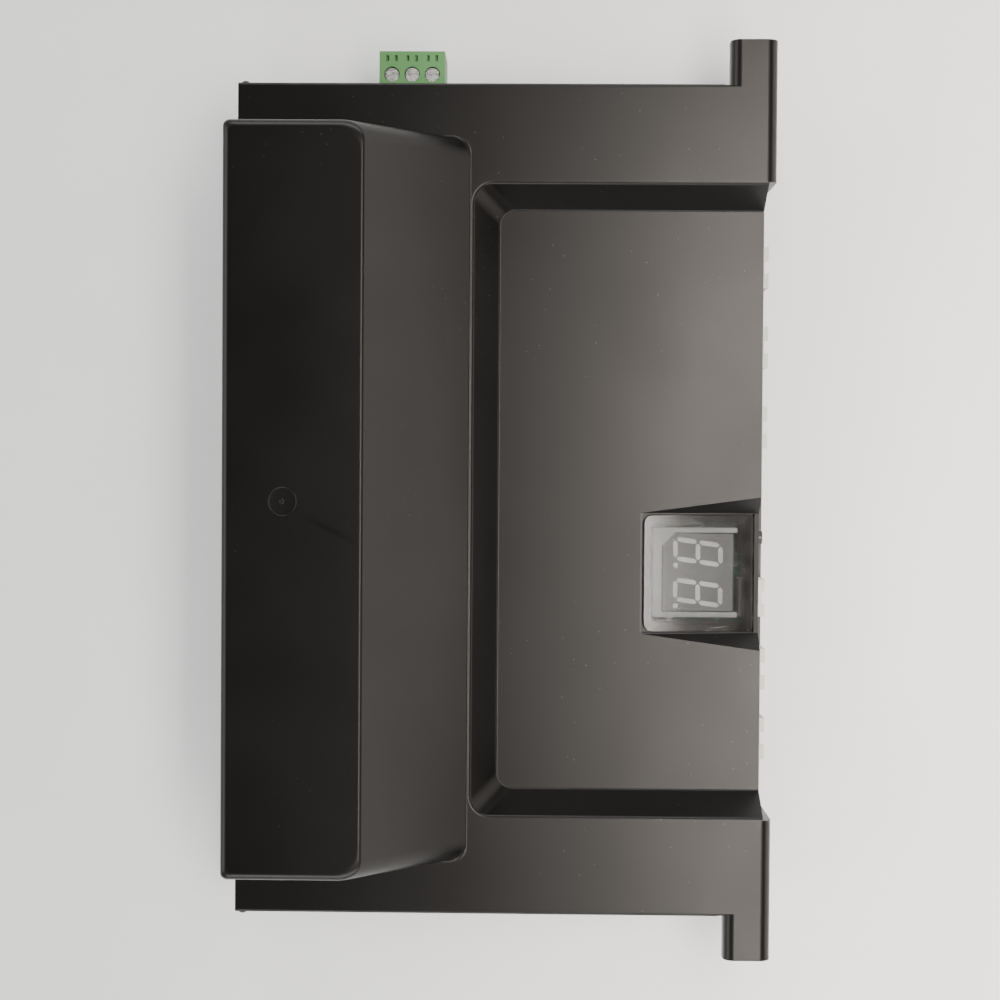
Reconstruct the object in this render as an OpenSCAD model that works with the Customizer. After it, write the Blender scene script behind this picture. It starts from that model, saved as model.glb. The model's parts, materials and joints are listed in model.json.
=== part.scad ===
/* [Case] */
// Length of the case along Y, without the ears
case_l = 154; // [150:1:200]
// Width of the case along X
case_w = 100; // [98:1:130]
// Height of the cover's flat top above the base's underside
plate_z = 27.5; // [26:0.5:36]
// Height of the hump's top above the base's underside
hump_z = 47.5; // [44:0.5:60]
// Thickness of the moulded walls
wall = 2; // [1.6:0.1:2.5]
// Height of the parting line between base and cover
joint_z = 8; // [7.5:0.5:10]

/* [Hump] */
// Width of the hump's flat top
hump_top_w = 25.4; // [22:0.1:32]
// Width of the slope beside the hump's top, in plan
hump_slope_w = 17.9; // [14:0.1:22]
// Distance from the case's end to the foot of the hump
hump_end = 10.1; // [9:0.1:14]
// Draft of the hump's ends, in degrees
end_draft = 0.5; // [0.5:0.1:3]
// Draft of the long side below the hump, in degrees
side_draft = 1; // [0.5:0.1:1.5]
// Radius of the round gate mark on the hump
gate_r = 2.6; // [1.5:0.1:4]

/* [Sunken panel] */
// Width of the strip between hump and sunken panel
ridge_w = 0.7; // [0.5:0.1:3]
// Depth of the sunken panel below the flat top
panel_d = 7; // [5:0.1:8]
// Width in plan of the panel's wall beside the hump
panel_wall_x = 4.7; // [3:0.1:7]
// Width in plan of the panel's two end walls
panel_wall_y = 4; // [3:0.1:7]
// Width of the flat rails at both ends of the panel
rail_w = 18.4; // [17:0.1:24]
// Distance from the case's side to the panel's edge
panel_setback = 1.6; // [1:0.1:3]

/* [Ears] */
// Width of each ear
ear_w = 8.7; // [6:0.1:14]
// Length of each ear beyond the case's end
ear_l = 8.2; // [4:0.1:14]
// Thickness of each ear
ear_t = 4; // [3:0.1:6]
// Radius along the outer rim and the ears
rim_r = 2.2; // [1:0.1:3]

/* [Window] */
// Width of the window, down its slope
window_w = 21.6; // [19:0.1:23]
// Length of the window along Y
window_l = 22.4; // [21:0.1:26]
// Thickness of the window
window_t = 1.2; // [1:0.1:1.4]
// Slope of the window, in degrees
window_tilt = 8.7; // [6:0.1:10]
// Place of the window's middle along Y
window_y = -13.7; // [-16:0.1:-11]
// Clearance round the window
window_fit = 0.1; // [0.05:0.05:0.2]

/* [Circuit board] */
// Thickness of the board
board_t = 1.6; // [1.2:0.1:2]
// Height of the board's underside
board_z = 7; // [6:0.1:7.4]
// Radius of the cover screws' shanks
cover_screw_r = 1.5; // [1.25:0.05:2]
// Radius of the board screws' shanks
board_screw_r = 1.4; // [1:0.05:1.6]
// Distance of the cover screws from the case's sides
corner_inset = 7.2; // [7:0.1:9]
// Radius of the four mounting pilot holes
pilot_r = 1.6; // [1:0.05:2]
// Depth of the mounting pilot holes
pilot_depth = 4.5; // [3:0.1:4.5]
// Spacing of the mounting pilot holes along X
pilot_x = 60; // [40:1:64]
// Spacing of the mounting pilot holes along Y
pilot_y = 110; // [60:1:116]

/* [Side plug] */
// Distance between the plug's poles
pole_pitch = 3.81; // [3.5:0.01:5.08]
// Height of the plug
plug_h = 11.1; // [11:0.1:14]
// Length of the plug outside its socket
plug_l = 8.1; // [8:0.1:10]
// Travel of the wire clamps
clamp_travel = 1.6; // [0.8:0.1:1.7]
// Radius of the terminal screws' shanks
terminal_screw_r = 1; // [0.8:0.05:1.05]
// Radius of the terminal screws' heads
terminal_head_r = 1.3; // [1.2:0.05:1.4]
// Radial clearance of running fits
running_fit = 0.06; // [0.03:0.01:0.1]

/* [Connectors] */
// Width of the connectors at the edge
header_w = 7.9; // [7:0.1:9]
// Height of the connectors at the edge
header_h = 6.8; // [5:0.1:8]
// Depth of the connectors at the edge
header_l = 9; // [7:0.1:10]
// Depth of the short connector beside the display
short_header_l = 5; // [4.8:0.1:5]
// Height of the short connector beside the display
short_header_h = 5.4; // [4.6:0.1:5.4]

/* [Display] */
// Clearance between the display and the window above it
display_gap = 0.9; // [0.5:0.1:2]
// Size of the display module along X
display_w = 13.6; // [12:0.1:14]
// Size of the display module along Y
display_l = 15; // [14:0.1:16]
// Height of a digit
digit_h = 9.5; // [8:0.1:9.8]
// Width of a digit
digit_w = 5.5; // [4.4:0.1:5.6]
// Distance between the digits
digit_pitch = 7.6; // [7:0.1:7.6]

/* [Hidden] */
$fn = 48;
eps = 0.01;
side = case_w / 2;
end = case_l / 2;
floor_z = plate_z - panel_d;
board_top = board_z + board_t;

// Hump: x of the crest, of the foot, and run of the slope for each mm down
crest_x = -side + hump_top_w;
foot_x = crest_x + hump_slope_w;
hump_run = hump_slope_w / (hump_z - plate_z);
hump_y = end - hump_end;
gate_x = -side + 11.5;
gate_d = 0.25;
gate_nub_drop = 0.1;

// Sunken panel: mouth and floor
mouth_x = foot_x + ridge_w;
panel_run_x = panel_wall_x / panel_d;
panel_run_y = panel_wall_y / panel_d;
mouth_y = end - rail_w;
floor_y = mouth_y - panel_wall_y;
panel_edge_x = side - panel_setback;
front_y = floor_y + 0.4;

// Joint between cover and base
joint_gap = 0.2;
cover_z = joint_z + joint_gap;
lip_gap = 0.15;
lip_t = 1.3;
lip_h = 3;
lip_in = wall + lip_gap + lip_t;

// Posts, bosses and screws
corner_x = side - corner_inset;
corner_y = end - corner_inset;
boss_r = 3.2;
post_top = board_top + 0.4;
boss_z = post_top + 0.2;
screw_seat = 3;
screw_reach = 9;
board_hole_x = side - 7.3;
board_hole_y = end - 14.5;
board_post_r = 3;
pilot_wall = 1.8;
corner_cut = 11;
head_r = 2.7;
head_fit = 0.2;
cover_head_h = 2;
board_head_h = 1.8;
cross_l = 3.2;
cross_w = 0.7;
cross_d = 1;
bore_fit = 0.1;
board_gap = 0.4;
tail_r = 0.75;
display_pin_r = 0.5;

// Window pocket
pocket_l = 22.8;
pocket_x = panel_edge_x - pocket_l;
window_in = 0.5;
ledge_w = 1.3;
ledge_t = 1;
pocket_half = window_l / 2 + window_fit + 0.1;
pocket_flare = 0.89;
pocket_wall = 1.2;

// Display module
display_x = panel_edge_x - 11.4;
display_top = floor_z - (display_x + display_w / 2 - pocket_x) * tan(window_tilt)
    - window_t / cos(window_tilt) - display_gap;
shroud_fit = 0.1;
shroud_lip = 0.2;
shroud_wall = [1.7, 1, 0.6];
segment_w = 1;
segment_gap = 0.12;
digit_slant = 8;
segment_d = 0.5;
dot_r = 0.5;
dot_out = 0.85;
pin_row = 5.08;
pin_step = 2.54;
segment_fit = 0.04;

// Side plug and socket, about the plug's own middle
plug_x = -side + 32;
plug_half = 1.5 * pole_pitch + 0.45;
plug_z = board_top + 0.3;
plug_top = plug_z + plug_h;
plug_y = end - 0.7;
tongue_l = 6.7;
tongue_z = board_top + 1.3;
tongue_h = 6;
tongue_half = 1.5 * pole_pitch;
socket_half = tongue_half + 0.7;
socket_y = end - 1.1;
socket_l = 9.3;
screw_y = plug_y + 3.8;
pin_z = board_top + 4;
pin_w = 1;
pin_fit = 0.03;
tail_in = 8.5;
tail_out = 1.2;
tongue_fit = 0.15;
bar_z = pin_z + 0.7;
bar_t = 0.6;
cage_w = 3;
cage_z = tongue_z + 0.1;
cage_top = bar_z + bar_t + 1.7;
cage_plate = 0.9;
cage_side = 0.28;
cage_floor = 0.6;
wire_half = 1.35;
contact_half = 1.15;
spring_x = 0.78;
spring_half = 0.2;
pocket_top = cage_top + clamp_travel + 0.2;
head_z = pocket_top + 0.9;
head_t = 1.2;
cutout_half = socket_half + 0.5;
cutout_z = plug_top + 0.8;

// Connectors along the +X side
header_y = [44.6, 29.4, 14.1, -18.6, -32.2, -45.5];
short_header = 3;
header_pitch = 3.96;
short_pitch = 3;
back_wall = 2;
header_wall = 0.8;
key_half = 1.2;

// Side push button
button_y = window_y + 6.6;
button_x = panel_edge_x - 3.3;
button_l = 3.1;
button_w = 6.2;
button_h = 4.2;
plunger_r = 1.3;
plunger_z = board_top + 2.3;
plunger_l = 3.4;
plunger_in = 1.2;
button_travel = 0.4;

// Transformer
trafo_x = -side + 18;
trafo_y = 33;
core_w = 42;
core_h = 30;
core_t = 14;
limb = core_w / 3;
yoke = limb / 2;
slot_h = core_h - 2 * yoke;
core_z = board_top + 0.8;
bobbin_t = 1;
core_fit = 0.2;
coil_reach = 13;

// Tall capacitors, heatsink and their neighbours
can_r = 11;
can_h = 30;
can_x = -side + 17;
can_y = [-28.5, -4];
sink_x = -side + 6;
sink_w = 23;
sink_y = -49;
sink_base = 3;
sink_fin = 9.5;
sink_h = 26;
sink_fins = 6;
bridge_y = 31;
relay_x = 19;
relay_y = end - 10.4;
relay_size = [28, 12.4, 15];
fuse_x = 10;
fuse_y = 46;
fuse_r = 2.6;
fuse_l = 20;
fuse_z = board_top + 4;
cap_l = 5;
bridge_size = [3.4, 22, 16];
transistor_pitch = 7.6;
transistor_hole_z = 19;
fin_t = 1.2;
small_can_x = crest_x + 15;
chip_x = 13;

module box_at(low, high) {
    translate(low) cube(high - low);
}

// Solid with a profile drawn in X and Z, of a given length along Y
module along_y(length) {
    rotate([90, 0, 0]) linear_extrude(height = length, center = true) children();
}

module four_corners(x, y) {
    for (sx = [-1, 1], sy = [-1, 1]) translate([sx * x, sy * y, 0]) children();
}

// What a rounded convex corner at the right and top of a profile leaves out
module corner_waste(x, z, r) {
    translate([x - r, z - r]) difference() {
        square(r + 1);
        circle(r);
    }
}

function left_x(z, inset) = -side + (z - joint_z) * tan(side_draft) + inset;
function slope_x(z, inset) =
    crest_x + (hump_z - z) * hump_run - inset * sqrt(1 + hump_run * hump_run);
function hump_end_y(z, inset) = hump_y - (z - plate_z) * tan(end_draft) - inset;
function panel_x(z, grow) =
    mouth_x + (plate_z - z) * panel_run_x - grow * sqrt(1 + panel_run_x * panel_run_x);
function panel_y(z, grow) =
    mouth_y - (plate_z - z) * panel_run_y + grow * sqrt(1 + panel_run_y * panel_run_y);

module plate_block(inset, low) {
    top = plate_z - inset;
    along_y(case_l - 2 * inset) difference() {
        polygon([[left_x(low, inset), low], [side - inset, low], [side - inset, top],
            [left_x(top, inset), top]]);
        if (inset == 0) corner_waste(side, plate_z, rim_r);
    }
}

module hump_block(inset, low) {
    top = hump_z - inset;
    y_low = hump_end_y(low, inset);
    y_top = hump_end_y(top, inset);
    intersection() {
        along_y(case_l) polygon([[left_x(low, inset), low], [slope_x(low, inset), low],
            [slope_x(top, inset), top], [left_x(top, inset), top]]);
        rotate([90, 0, 90]) linear_extrude(height = case_w, center = true)
            polygon([[-y_low, low], [y_low, low], [y_top, top], [-y_top, top]]);
    }
}

// The sunken panel's space, or with grow the same space with a wall round it
module panel_space(grow) {
    low = floor_z - grow;
    top = plate_z + 1;
    reach = side + 5;
    intersection() {
        along_y(case_l) polygon([[panel_x(low, grow), low], [reach, low], [reach, top],
            [panel_x(top, grow), top]]);
        rotate([90, 0, 90]) linear_extrude(height = 3 * case_w, center = true)
            polygon([[-panel_y(low, grow), low], [panel_y(low, grow), low],
                [panel_y(top, grow), top], [-panel_y(top, grow), top]]);
    }
}

module ears() {
    for (sy = [-1, 1]) translate([0, sy * (end + ear_l / 2 - wall / 2), 0])
        along_y(ear_l + wall) difference() {
            translate([side - ear_w, plate_z - ear_t]) square([ear_w, ear_t]);
            corner_waste(side, plate_z, rim_r);
            mirror([1, 0]) corner_waste(ear_w - side, plate_z, rim_r);
        }
}

// Moves a shape into the window's own frame, sloping down from the pocket's edge
module on_slope() {
    translate([pocket_x, window_y, floor_z]) rotate([0, window_tilt, 0]) children();
}

// Space with a flat floor along the slope and flared sides
module flared_space(start, half, low, high) {
    spread = (high - low) * pocket_flare;
    on_slope() translate([start, 0, 0]) rotate([90, 0, 90])
        linear_extrude(height = pocket_l + 10) polygon([[-half, low], [half, low],
            [half + spread, high], [-half - spread, high]]);
}

module pocket_block() {
    intersection() {
        flared_space(-wall, pocket_half + pocket_wall, -window_t - ledge_t, panel_d);
        box_at([pocket_x - wall, -end, floor_z - 2 * panel_d],
            [panel_edge_x, end, floor_z - wall / 4]);
    }
}

module pocket_cut() {
    flared_space(0, pocket_half, 0, 8);
    on_slope() {
        translate([window_in - window_fit, -window_l / 2 - window_fit, -window_t])
            cube([window_w + 2 * window_fit, window_l + 2 * window_fit, window_t + 1]);
        translate([window_in + ledge_w, -window_l / 2 + ledge_w, -window_t - 8])
            cube([window_w - 2 * ledge_w, window_l - 2 * ledge_w, 9]);
    }
}

module cover_solid() {
    difference() {
        union() {
            plate_block(0, cover_z);
            hump_block(0, plate_z - 1);
        }
        panel_space(0);
    }
}

module cover_space() {
    difference() {
        union() {
            plate_block(wall, cover_z - 1);
            hump_block(wall, plate_z - wall - 1);
        }
        panel_space(wall);
    }
}

module corner_ribs() {
    rib_r = 1.1;
    rib_in = 1.6;
    rib_out = 0.45;
    rib_drop = 0.4;
    for (sy = [-1, 1]) translate([rib_in - side, sy * (end + rib_out - rib_r), cover_z])
        cylinder(r = rib_r, h = plate_z - cover_z - rib_drop);
}

module cover() {
    color([0.09, 0.085, 0.08]) difference() {
        union() {
            difference() {
                cover_solid();
                cover_space();
                box_at([panel_edge_x, -front_y, 0], [side + 1, front_y, floor_z + eps]);
                box_at([side - wall - 1, -front_y, 0], [side + 1, front_y, floor_z - wall]);
            }
            four_corners(corner_x, corner_y) translate([0, 0, boss_z])
                cylinder(r = boss_r, h = plate_z - wall / 2 - boss_z);
            pocket_block();
            ears();
            corner_ribs();
        }
        pocket_cut();
        four_corners(corner_x, corner_y) translate([0, 0, boss_z - 1])
            cylinder(r = cover_screw_r + bore_fit, h = screw_reach + 1);
        box_at([plug_x - cutout_half, end - wall - 1, 0],
            [plug_x + cutout_half, end + 2, cutout_z]);
        translate([gate_x, 0, hump_z - gate_d]) difference() {
            cylinder(r = gate_r, h = 1);
            translate([0, 0, -1]) cylinder(r = gate_r / 4, h = 1 + gate_d - gate_nub_drop);
        }
    }
}

module display_window() {
    color([0.12, 0.12, 0.13, 0.6]) on_slope()
        translate([window_in, -window_l / 2, -window_t]) cube([window_w, window_l, window_t]);
}

module display_shroud() {
    half_x = display_w / 2 + shroud_fit;
    half_y = display_l / 2 + shroud_fit;
    outer_y = half_y + shroud_wall[1];
    color([0.85, 0.84, 0.8]) difference() {
        box_at([display_x - half_x - shroud_wall[0], window_y - outer_y, board_top],
            [display_x + half_x + shroud_wall[2], window_y + outer_y, display_top + shroud_lip]);
        box_at([display_x - half_x, window_y - half_y, 0],
            [display_x + half_x + 5, window_y + half_y, display_top + 1]);
    }
}

module base_ring(inset, thick, low, high) {
    difference() {
        box_at([inset - side, inset - end, low], [side - inset, end - inset, high]);
        box_at([inset + thick - side, inset + thick - end, low - 1],
            [side - inset - thick, end - inset - thick, high + 1]);
    }
}

module base_tray() {
    color([0.1, 0.1, 0.1]) difference() {
        union() {
            box_at([-side, -end, 0], [side, end, wall]);
            base_ring(0, wall, 0, joint_z);
            difference() {
                union() {
                    base_ring(wall - eps, lip_gap + lip_t + eps, joint_z - 2.5, joint_z);
                    base_ring(wall + lip_gap, lip_t, joint_z - 1, joint_z + lip_h);
                }
                box_at([side - wall - 5, -front_y - 1, joint_z - 3],
                    [side - wall, front_y + 1, joint_z + 9]);
                box_at([plug_x - cutout_half - 0.6, end - wall - 5, joint_z - 3],
                    [plug_x + cutout_half + 0.6, end - wall, joint_z + 9]);
            }
            four_corners(corner_x, corner_y) cylinder(r = boss_r, h = post_top);
            four_corners(board_hole_x, board_hole_y) cylinder(r = board_post_r, h = board_z);
            four_corners(pilot_x / 2, pilot_y / 2)
                cylinder(r = pilot_r + pilot_wall, h = board_z - 0.8);
        }
        four_corners(corner_x, corner_y) {
            translate([0, 0, -1]) cylinder(r = cover_screw_r + 2 * bore_fit, h = post_top + 2);
            translate([0, 0, -1]) cylinder(r = head_r + head_fit, h = screw_seat + 1);
        }
        four_corners(board_hole_x, board_hole_y) translate([0, 0, wall])
            cylinder(r = board_screw_r + bore_fit / 2, h = board_z);
        four_corners(pilot_x / 2, pilot_y / 2) translate([0, 0, -1])
            cylinder(r = pilot_r, h = pilot_depth + 1);
    }
}

module header_tails(size) {
    for (i = [0 : len(header_y) - 1]) for (k = [-1, 1])
        translate([tail_x(i), header_y[i] + k * header_step(i) / 2, board_z - 1])
            cylinder(r = size, h = board_t + 2);
}

module circuit_board() {
    edge_x = side - lip_in - board_gap;
    edge_y = end - lip_in - board_gap;
    color([0.05, 0.32, 0.16]) difference() {
        union() {
            box_at([-edge_x, -edge_y, board_z], [edge_x, edge_y, board_top]);
            box_at([0, -front_y + 1, board_z], [side - wall - board_gap, front_y - 1, board_top]);
        }
        four_corners(side, end)
            cube([2 * corner_cut, 2 * corner_cut, 4 * board_top], center = true);
        four_corners(board_hole_x, board_hole_y) translate([0, 0, board_z - 1])
            cylinder(r = board_screw_r + bore_fit, h = board_t + 2);
        header_tails(tail_r);
        for (k = [-1 : 1]) translate([plug_x + k * pole_pitch, socket_y - tail_in, board_z - 1])
            cylinder(r = tail_r, h = board_t + 2);
        led_pin_places() translate([0, 0, board_z - 1])
            cylinder(r = display_pin_r, h = board_t + 2);
    }
}

// Cross slot cut into a screw head, as deep below this level as above it
module cross_slot() {
    for (size = [[cross_l, cross_w, 2 * cross_d], [cross_w, cross_l, 2 * cross_d]])
        cube(size, center = true);
}

module cover_screws() {
    color([0.7, 0.7, 0.72]) four_corners(corner_x, corner_y) difference() {
        union() {
            translate([0, 0, screw_seat - cover_head_h]) cylinder(r = head_r, h = cover_head_h);
            translate([0, 0, screw_seat - eps])
                cylinder(r = cover_screw_r, h = boss_z + screw_reach - 1 - screw_seat);
        }
        translate([0, 0, screw_seat - cover_head_h]) cross_slot();
    }
}

module board_screws() {
    color([0.75, 0.75, 0.77]) four_corners(board_hole_x, board_hole_y) difference() {
        union() {
            translate([0, 0, board_top]) cylinder(r = head_r, h = board_head_h);
            translate([0, 0, wall + 0.5]) cylinder(r = board_screw_r, h = board_top - wall);
        }
        translate([0, 0, board_top + board_head_h]) cross_slot();
    }
}

// A digit's own frame: reading direction along -Y, its top towards +X
module on_digit(place) {
    translate([display_x, window_y + place * digit_pitch / 2, display_top]) rotate([0, 0, -90])
        multmatrix([[1, tan(digit_slant), 0, 0], [0, 1, 0, 0], [0, 0, 1, 0], [0, 0, 0, 1]])
            children();
}

// One bar of a digit, lying along its local x, with pointed ends
module segment_bar(length, grow) {
    w = segment_w / 2 + grow;
    l = length / 2 + grow;
    polygon([[-l, 0], [w - l, w], [l - w, w], [l, 0], [l - w, -w], [w - l, -w]]);
}

module digit_bars(grow) {
    half_w = (digit_w - segment_w) / 2;
    half_h = (digit_h - segment_w) / 4;
    for (k = [-1 : 1]) translate([0, k * 2 * half_h])
        segment_bar(2 * half_w - 2 * segment_gap, grow);
    for (sx = [-1, 1], sy = [-1, 1]) translate([sx * half_w, sy * half_h])
        rotate([0, 0, 90]) segment_bar(2 * half_h - 2 * segment_gap, grow);
}

module segment_shapes(grow, depth, top) {
    for (place = [-1, 1]) on_digit(place) translate([0, 0, -depth]) {
        linear_extrude(height = depth + top) digit_bars(grow);
        translate([digit_w / 2 + dot_out, -digit_h / 2 + dot_r, 0])
            cylinder(r = dot_r + grow, h = depth + top);
    }
}

module led_body() {
    color([0.45, 0.46, 0.46]) difference() {
        box_at([display_x - display_w / 2, window_y - display_l / 2, board_top],
            [display_x + display_w / 2, window_y + display_l / 2, display_top]);
        segment_shapes(segment_fit, segment_d, 1);
    }
}

module led_segments() {
    color([0.75, 0.74, 0.7]) segment_shapes(0, segment_d, 0);
}

module led_pin_places() {
    for (sx = [-1, 1], k = [-2 : 2])
        translate([display_x + sx * pin_row, window_y + k * pin_step, 0]) children();
}

module led_pins() {
    color([0.75, 0.74, 0.68]) led_pin_places()
        box_at([-display_pin_r / 2, -display_pin_r / 2, board_z - tail_out],
            [display_pin_r / 2, display_pin_r / 2, board_top]);
}

module socket_pin(grow) {
    w = pin_w / 2 + grow;
    tail_y = socket_y - tail_in;
    box_at([-w, tail_y - w, pin_z - w], [w, socket_y - 0.9, pin_z + w]);
    box_at([-w, tail_y - w, board_z - tail_out], [w, tail_y + w, pin_z + w]);
}

module side_socket() {
    low = socket_y - socket_l;
    color([0.3, 0.55, 0.28]) translate([plug_x, 0, 0]) difference() {
        box_at([-socket_half, low, board_top], [socket_half, socket_y, tongue_z + tongue_h + 1]);
        box_at([-tongue_half - tongue_fit, plug_y - tongue_l - 0.4, tongue_z - 0.2],
            [tongue_half + tongue_fit, socket_y + 1, tongue_z + tongue_h + 0.2]);
        for (k = [-1 : 1]) translate([k * pole_pitch, 0, 0]) socket_pin(pin_fit);
    }
}

module side_socket_pins() {
    color([0.78, 0.76, 0.7]) for (k = [-1 : 1]) translate([plug_x + k * pole_pitch, 0, 0])
        socket_pin(0);
}

function header_length(i) = i == short_header ? short_header_l : header_l;
function header_height(i) = i == short_header ? short_header_h : header_h;
function header_step(i) = i == short_header ? short_pitch : header_pitch;
function header_width(i) = i == short_header ? header_w - 0.6 : header_w;
function tail_x(i) = side - header_length(i) + back_wall / 2;
function header_pin_z(i) = board_top + header_height(i) / 2;

module header_pin(i, grow) {
    w = pin_w / 2 + grow;
    z = header_pin_z(i);
    box_at([tail_x(i) - w, -w, z - w], [side - 1.2, w, z + w]);
    box_at([tail_x(i) - w, -w, board_z - tail_out], [tail_x(i) + w, w, z + w]);
}

module header(i) {
    half = header_width(i) / 2;
    back = side - header_length(i);
    top = board_top + header_height(i);
    color([0.9, 0.9, 0.87]) translate([0, header_y[i], 0]) difference() {
        box_at([back, -half, board_top], [side, half, top]);
        box_at([back + back_wall, header_wall - half, board_top + header_wall],
            [side + 1, half - header_wall, top - header_wall]);
        box_at([back + back_wall + 1, -key_half, top - 2], [side + 1, key_half, top + 1]);
        for (k = [-1, 1]) translate([0, k * header_step(i) / 2, 0]) header_pin(i, pin_fit);
    }
}

module header_pins() {
    color([0.78, 0.76, 0.7]) for (i = [0 : len(header_y) - 1]) for (k = [-1, 1])
        translate([0, header_y[i] + k * header_step(i) / 2, 0]) header_pin(i, 0);
}

module button_body() {
    color([0.15, 0.15, 0.15]) translate([button_x, button_y, 0]) difference() {
        box_at([0, -button_w / 2, board_top], [button_l, button_w / 2, board_top + button_h]);
        translate([plunger_in - 1.5 * button_travel, 0, plunger_z]) rotate([0, 90, 0])
            cylinder(r = plunger_r + running_fit, h = button_l);
    }
}

module button_plunger() {
    color([0.07, 0.07, 0.07]) translate([button_x + plunger_in, button_y, plunger_z])
        rotate([0, 90, 0]) cylinder(r = plunger_r, h = plunger_l);
}

module transformer_core() {
    color([0.3, 0.3, 0.32]) translate([trafo_x, trafo_y, core_z]) difference() {
        box_at([-core_t / 2, -core_w / 2, 0], [core_t / 2, core_w / 2, core_h]);
        for (s = [-1, 1]) translate([0, s * (limb / 2 + yoke / 2), yoke + slot_h / 2])
            cube([core_t + 1, yoke, slot_h], center = true);
    }
}

module transformer_bobbin() {
    tube_x = core_t / 2 + core_fit;
    tube_y = limb / 2 + core_fit;
    tube_t = 0.8;
    foot_half = 2.4;
    flange_y = limb / 2 + yoke - 0.3;
    low = core_z + yoke + 0.1;
    high = low + slot_h - 0.2;
    color([0.85, 0.8, 0.68]) translate([trafo_x, trafo_y, 0]) difference() {
        union() {
            for (z = [low, high - bobbin_t])
                box_at([-coil_reach - 1, -flange_y, z], [coil_reach + 1, flange_y, z + bobbin_t]);
            box_at([-tube_x - tube_t, -tube_y - tube_t, low],
                [tube_x + tube_t, tube_y + tube_t, high]);
            for (s = [-1, 1]) translate([s * (coil_reach - 1.5), 0, 0])
                box_at([-foot_half, -flange_y, board_top], [foot_half, flange_y, low + eps]);
        }
        box_at([-tube_x, -tube_y, low - 1], [tube_x, tube_y, high + 1]);
    }
}

module transformer_coil() {
    tube_x = core_t / 2 + 1.1;
    tube_y = limb / 2 + 1.1;
    low = core_z + yoke + bobbin_t + core_fit;
    high = core_z + yoke + slot_h - bobbin_t - core_fit;
    reach_y = limb / 2 + yoke - 0.9;
    r = 3;
    color([0.72, 0.42, 0.18]) translate([trafo_x, trafo_y, 0]) difference() {
        union() {
            box_at([-coil_reach, -reach_y + r, low], [coil_reach, reach_y - r, high]);
            box_at([-coil_reach + r, -reach_y, low], [coil_reach - r, reach_y, high]);
            four_corners(coil_reach - r, reach_y - r) translate([0, 0, low])
                cylinder(r = r, h = high - low);
        }
        box_at([-tube_x, -tube_y, low - 1], [tube_x, tube_y, high + 1]);
    }
}

// Electrolytic can with a crimped groove and a scored top
module can(r, h) {
    difference() {
        rotate_extrude() polygon([[0, 0], [r - 0.4, 0], [r, 0.4], [r, 2.4], [r - 0.5, 3],
            [r, 3.6], [r, h - 0.5], [r - 0.5, h], [0, h]]);
        for (a = [0, 90]) rotate([0, 0, a]) translate([-r * 0.7, -0.2, h - 0.3])
            cube([r * 1.4, 0.4, 1]);
    }
}

module capacitor(i) {
    color([0.12, 0.14, 0.2]) translate([can_x, can_y[i], board_top]) can(can_r, can_h);
}

module small_capacitors() {
    color([0.13, 0.13, 0.16]) {
        for (y = [-10, -20, -30]) translate([small_can_x, y, board_top]) can(4, 12);
        for (y = [36.9, -39]) translate([side - 12.8, y, board_top]) can(3.15, 7.5);
    }
}

module bridge_rectifier() {
    x = crest_x + 9;
    color([0.1, 0.1, 0.1]) {
        difference() {
            translate([x, bridge_y - bridge_size[1] / 2, board_top + 2]) cube(bridge_size);
            translate([x - 1, bridge_y, board_top + 13]) rotate([0, 90, 0])
                cylinder(r = 1.6, h = 6);
        }
        for (k = [0 : 3])
            translate([x + bridge_size[0] / 2, bridge_y + (k - 1.5) * 5.08 + 0.02, board_top])
                box_at([-0.4, -0.5, 0], [0.4, 0.5, 2 + eps]);
    }
}

module transistor_places() {
    for (k = [0 : 2])
        translate([sink_x + 4 + k * transistor_pitch, sink_y + sink_base, board_top]) children();
}

module heatsink() {
    step = (sink_w - fin_t) / (sink_fins - 1);
    color([0.75, 0.76, 0.78]) difference() {
        translate([sink_x, sink_y, board_top]) union() {
            cube([sink_w, sink_base, sink_h]);
            for (k = [0 : sink_fins - 1]) translate([k * step, -sink_fin, 0])
                cube([fin_t, sink_fin + eps, sink_h]);
        }
        transistor_places() translate([0, 1, transistor_hole_z]) rotate([90, 0, 0])
            cylinder(r = 1.2, h = sink_base + 2);
    }
}

module power_transistors() {
    color([0.12, 0.12, 0.12]) transistor_places() difference() {
        union() {
            box_at([-3.3, 0, 6], [3.3, 1.3, 22]);
            box_at([-3.3, 0, 6], [3.3, 4.4, 15]);
            for (k = [-1 : 1]) translate([k * 2.3, 0, 0]) box_at([-0.4, 2, 0], [0.4, 2.6, 6 + eps]);
        }
        translate([0, -1, transistor_hole_z]) rotate([-90, 0, 0]) cylinder(r = 1.6, h = 4);
    }
}

module heatsink_screws() {
    color([0.7, 0.7, 0.72]) transistor_places() translate([0, 0, transistor_hole_z]) {
        translate([0, 3.1, 0]) rotate([90, 0, 0]) cylinder(r = 2.5, h = 1.8);
        translate([0, 1.4, 0]) rotate([90, 0, 0]) cylinder(r = 1.15, h = 3.6);
    }
}

module relay(sy) {
    s = relay_size;
    color([0.1, 0.25, 0.55]) translate([relay_x, sy * relay_y, board_top + s[2] / 2])
        cube([s[0], s[1], s[2]], center = true);
}

module fuse_clips() {
    color([0.78, 0.77, 0.72]) for (s = [-1, 1])
        translate([fuse_x + s * (fuse_l / 2 - 2.5), fuse_y, 0]) difference() {
            box_at([-2, -3.6, board_top], [2, 3.6, fuse_z + 3]);
            translate([-3, 0, fuse_z]) rotate([0, 90, 0]) cylinder(r = fuse_r + 0.05, h = 6);
            box_at([-3, -1.8, fuse_z], [3, 1.8, fuse_z + 9]);
            for (k = [-1, 1]) translate([0, k * 3.6, fuse_z + 2.6]) cube([6, 0.9, 2], center = true);
        }
}

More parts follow.
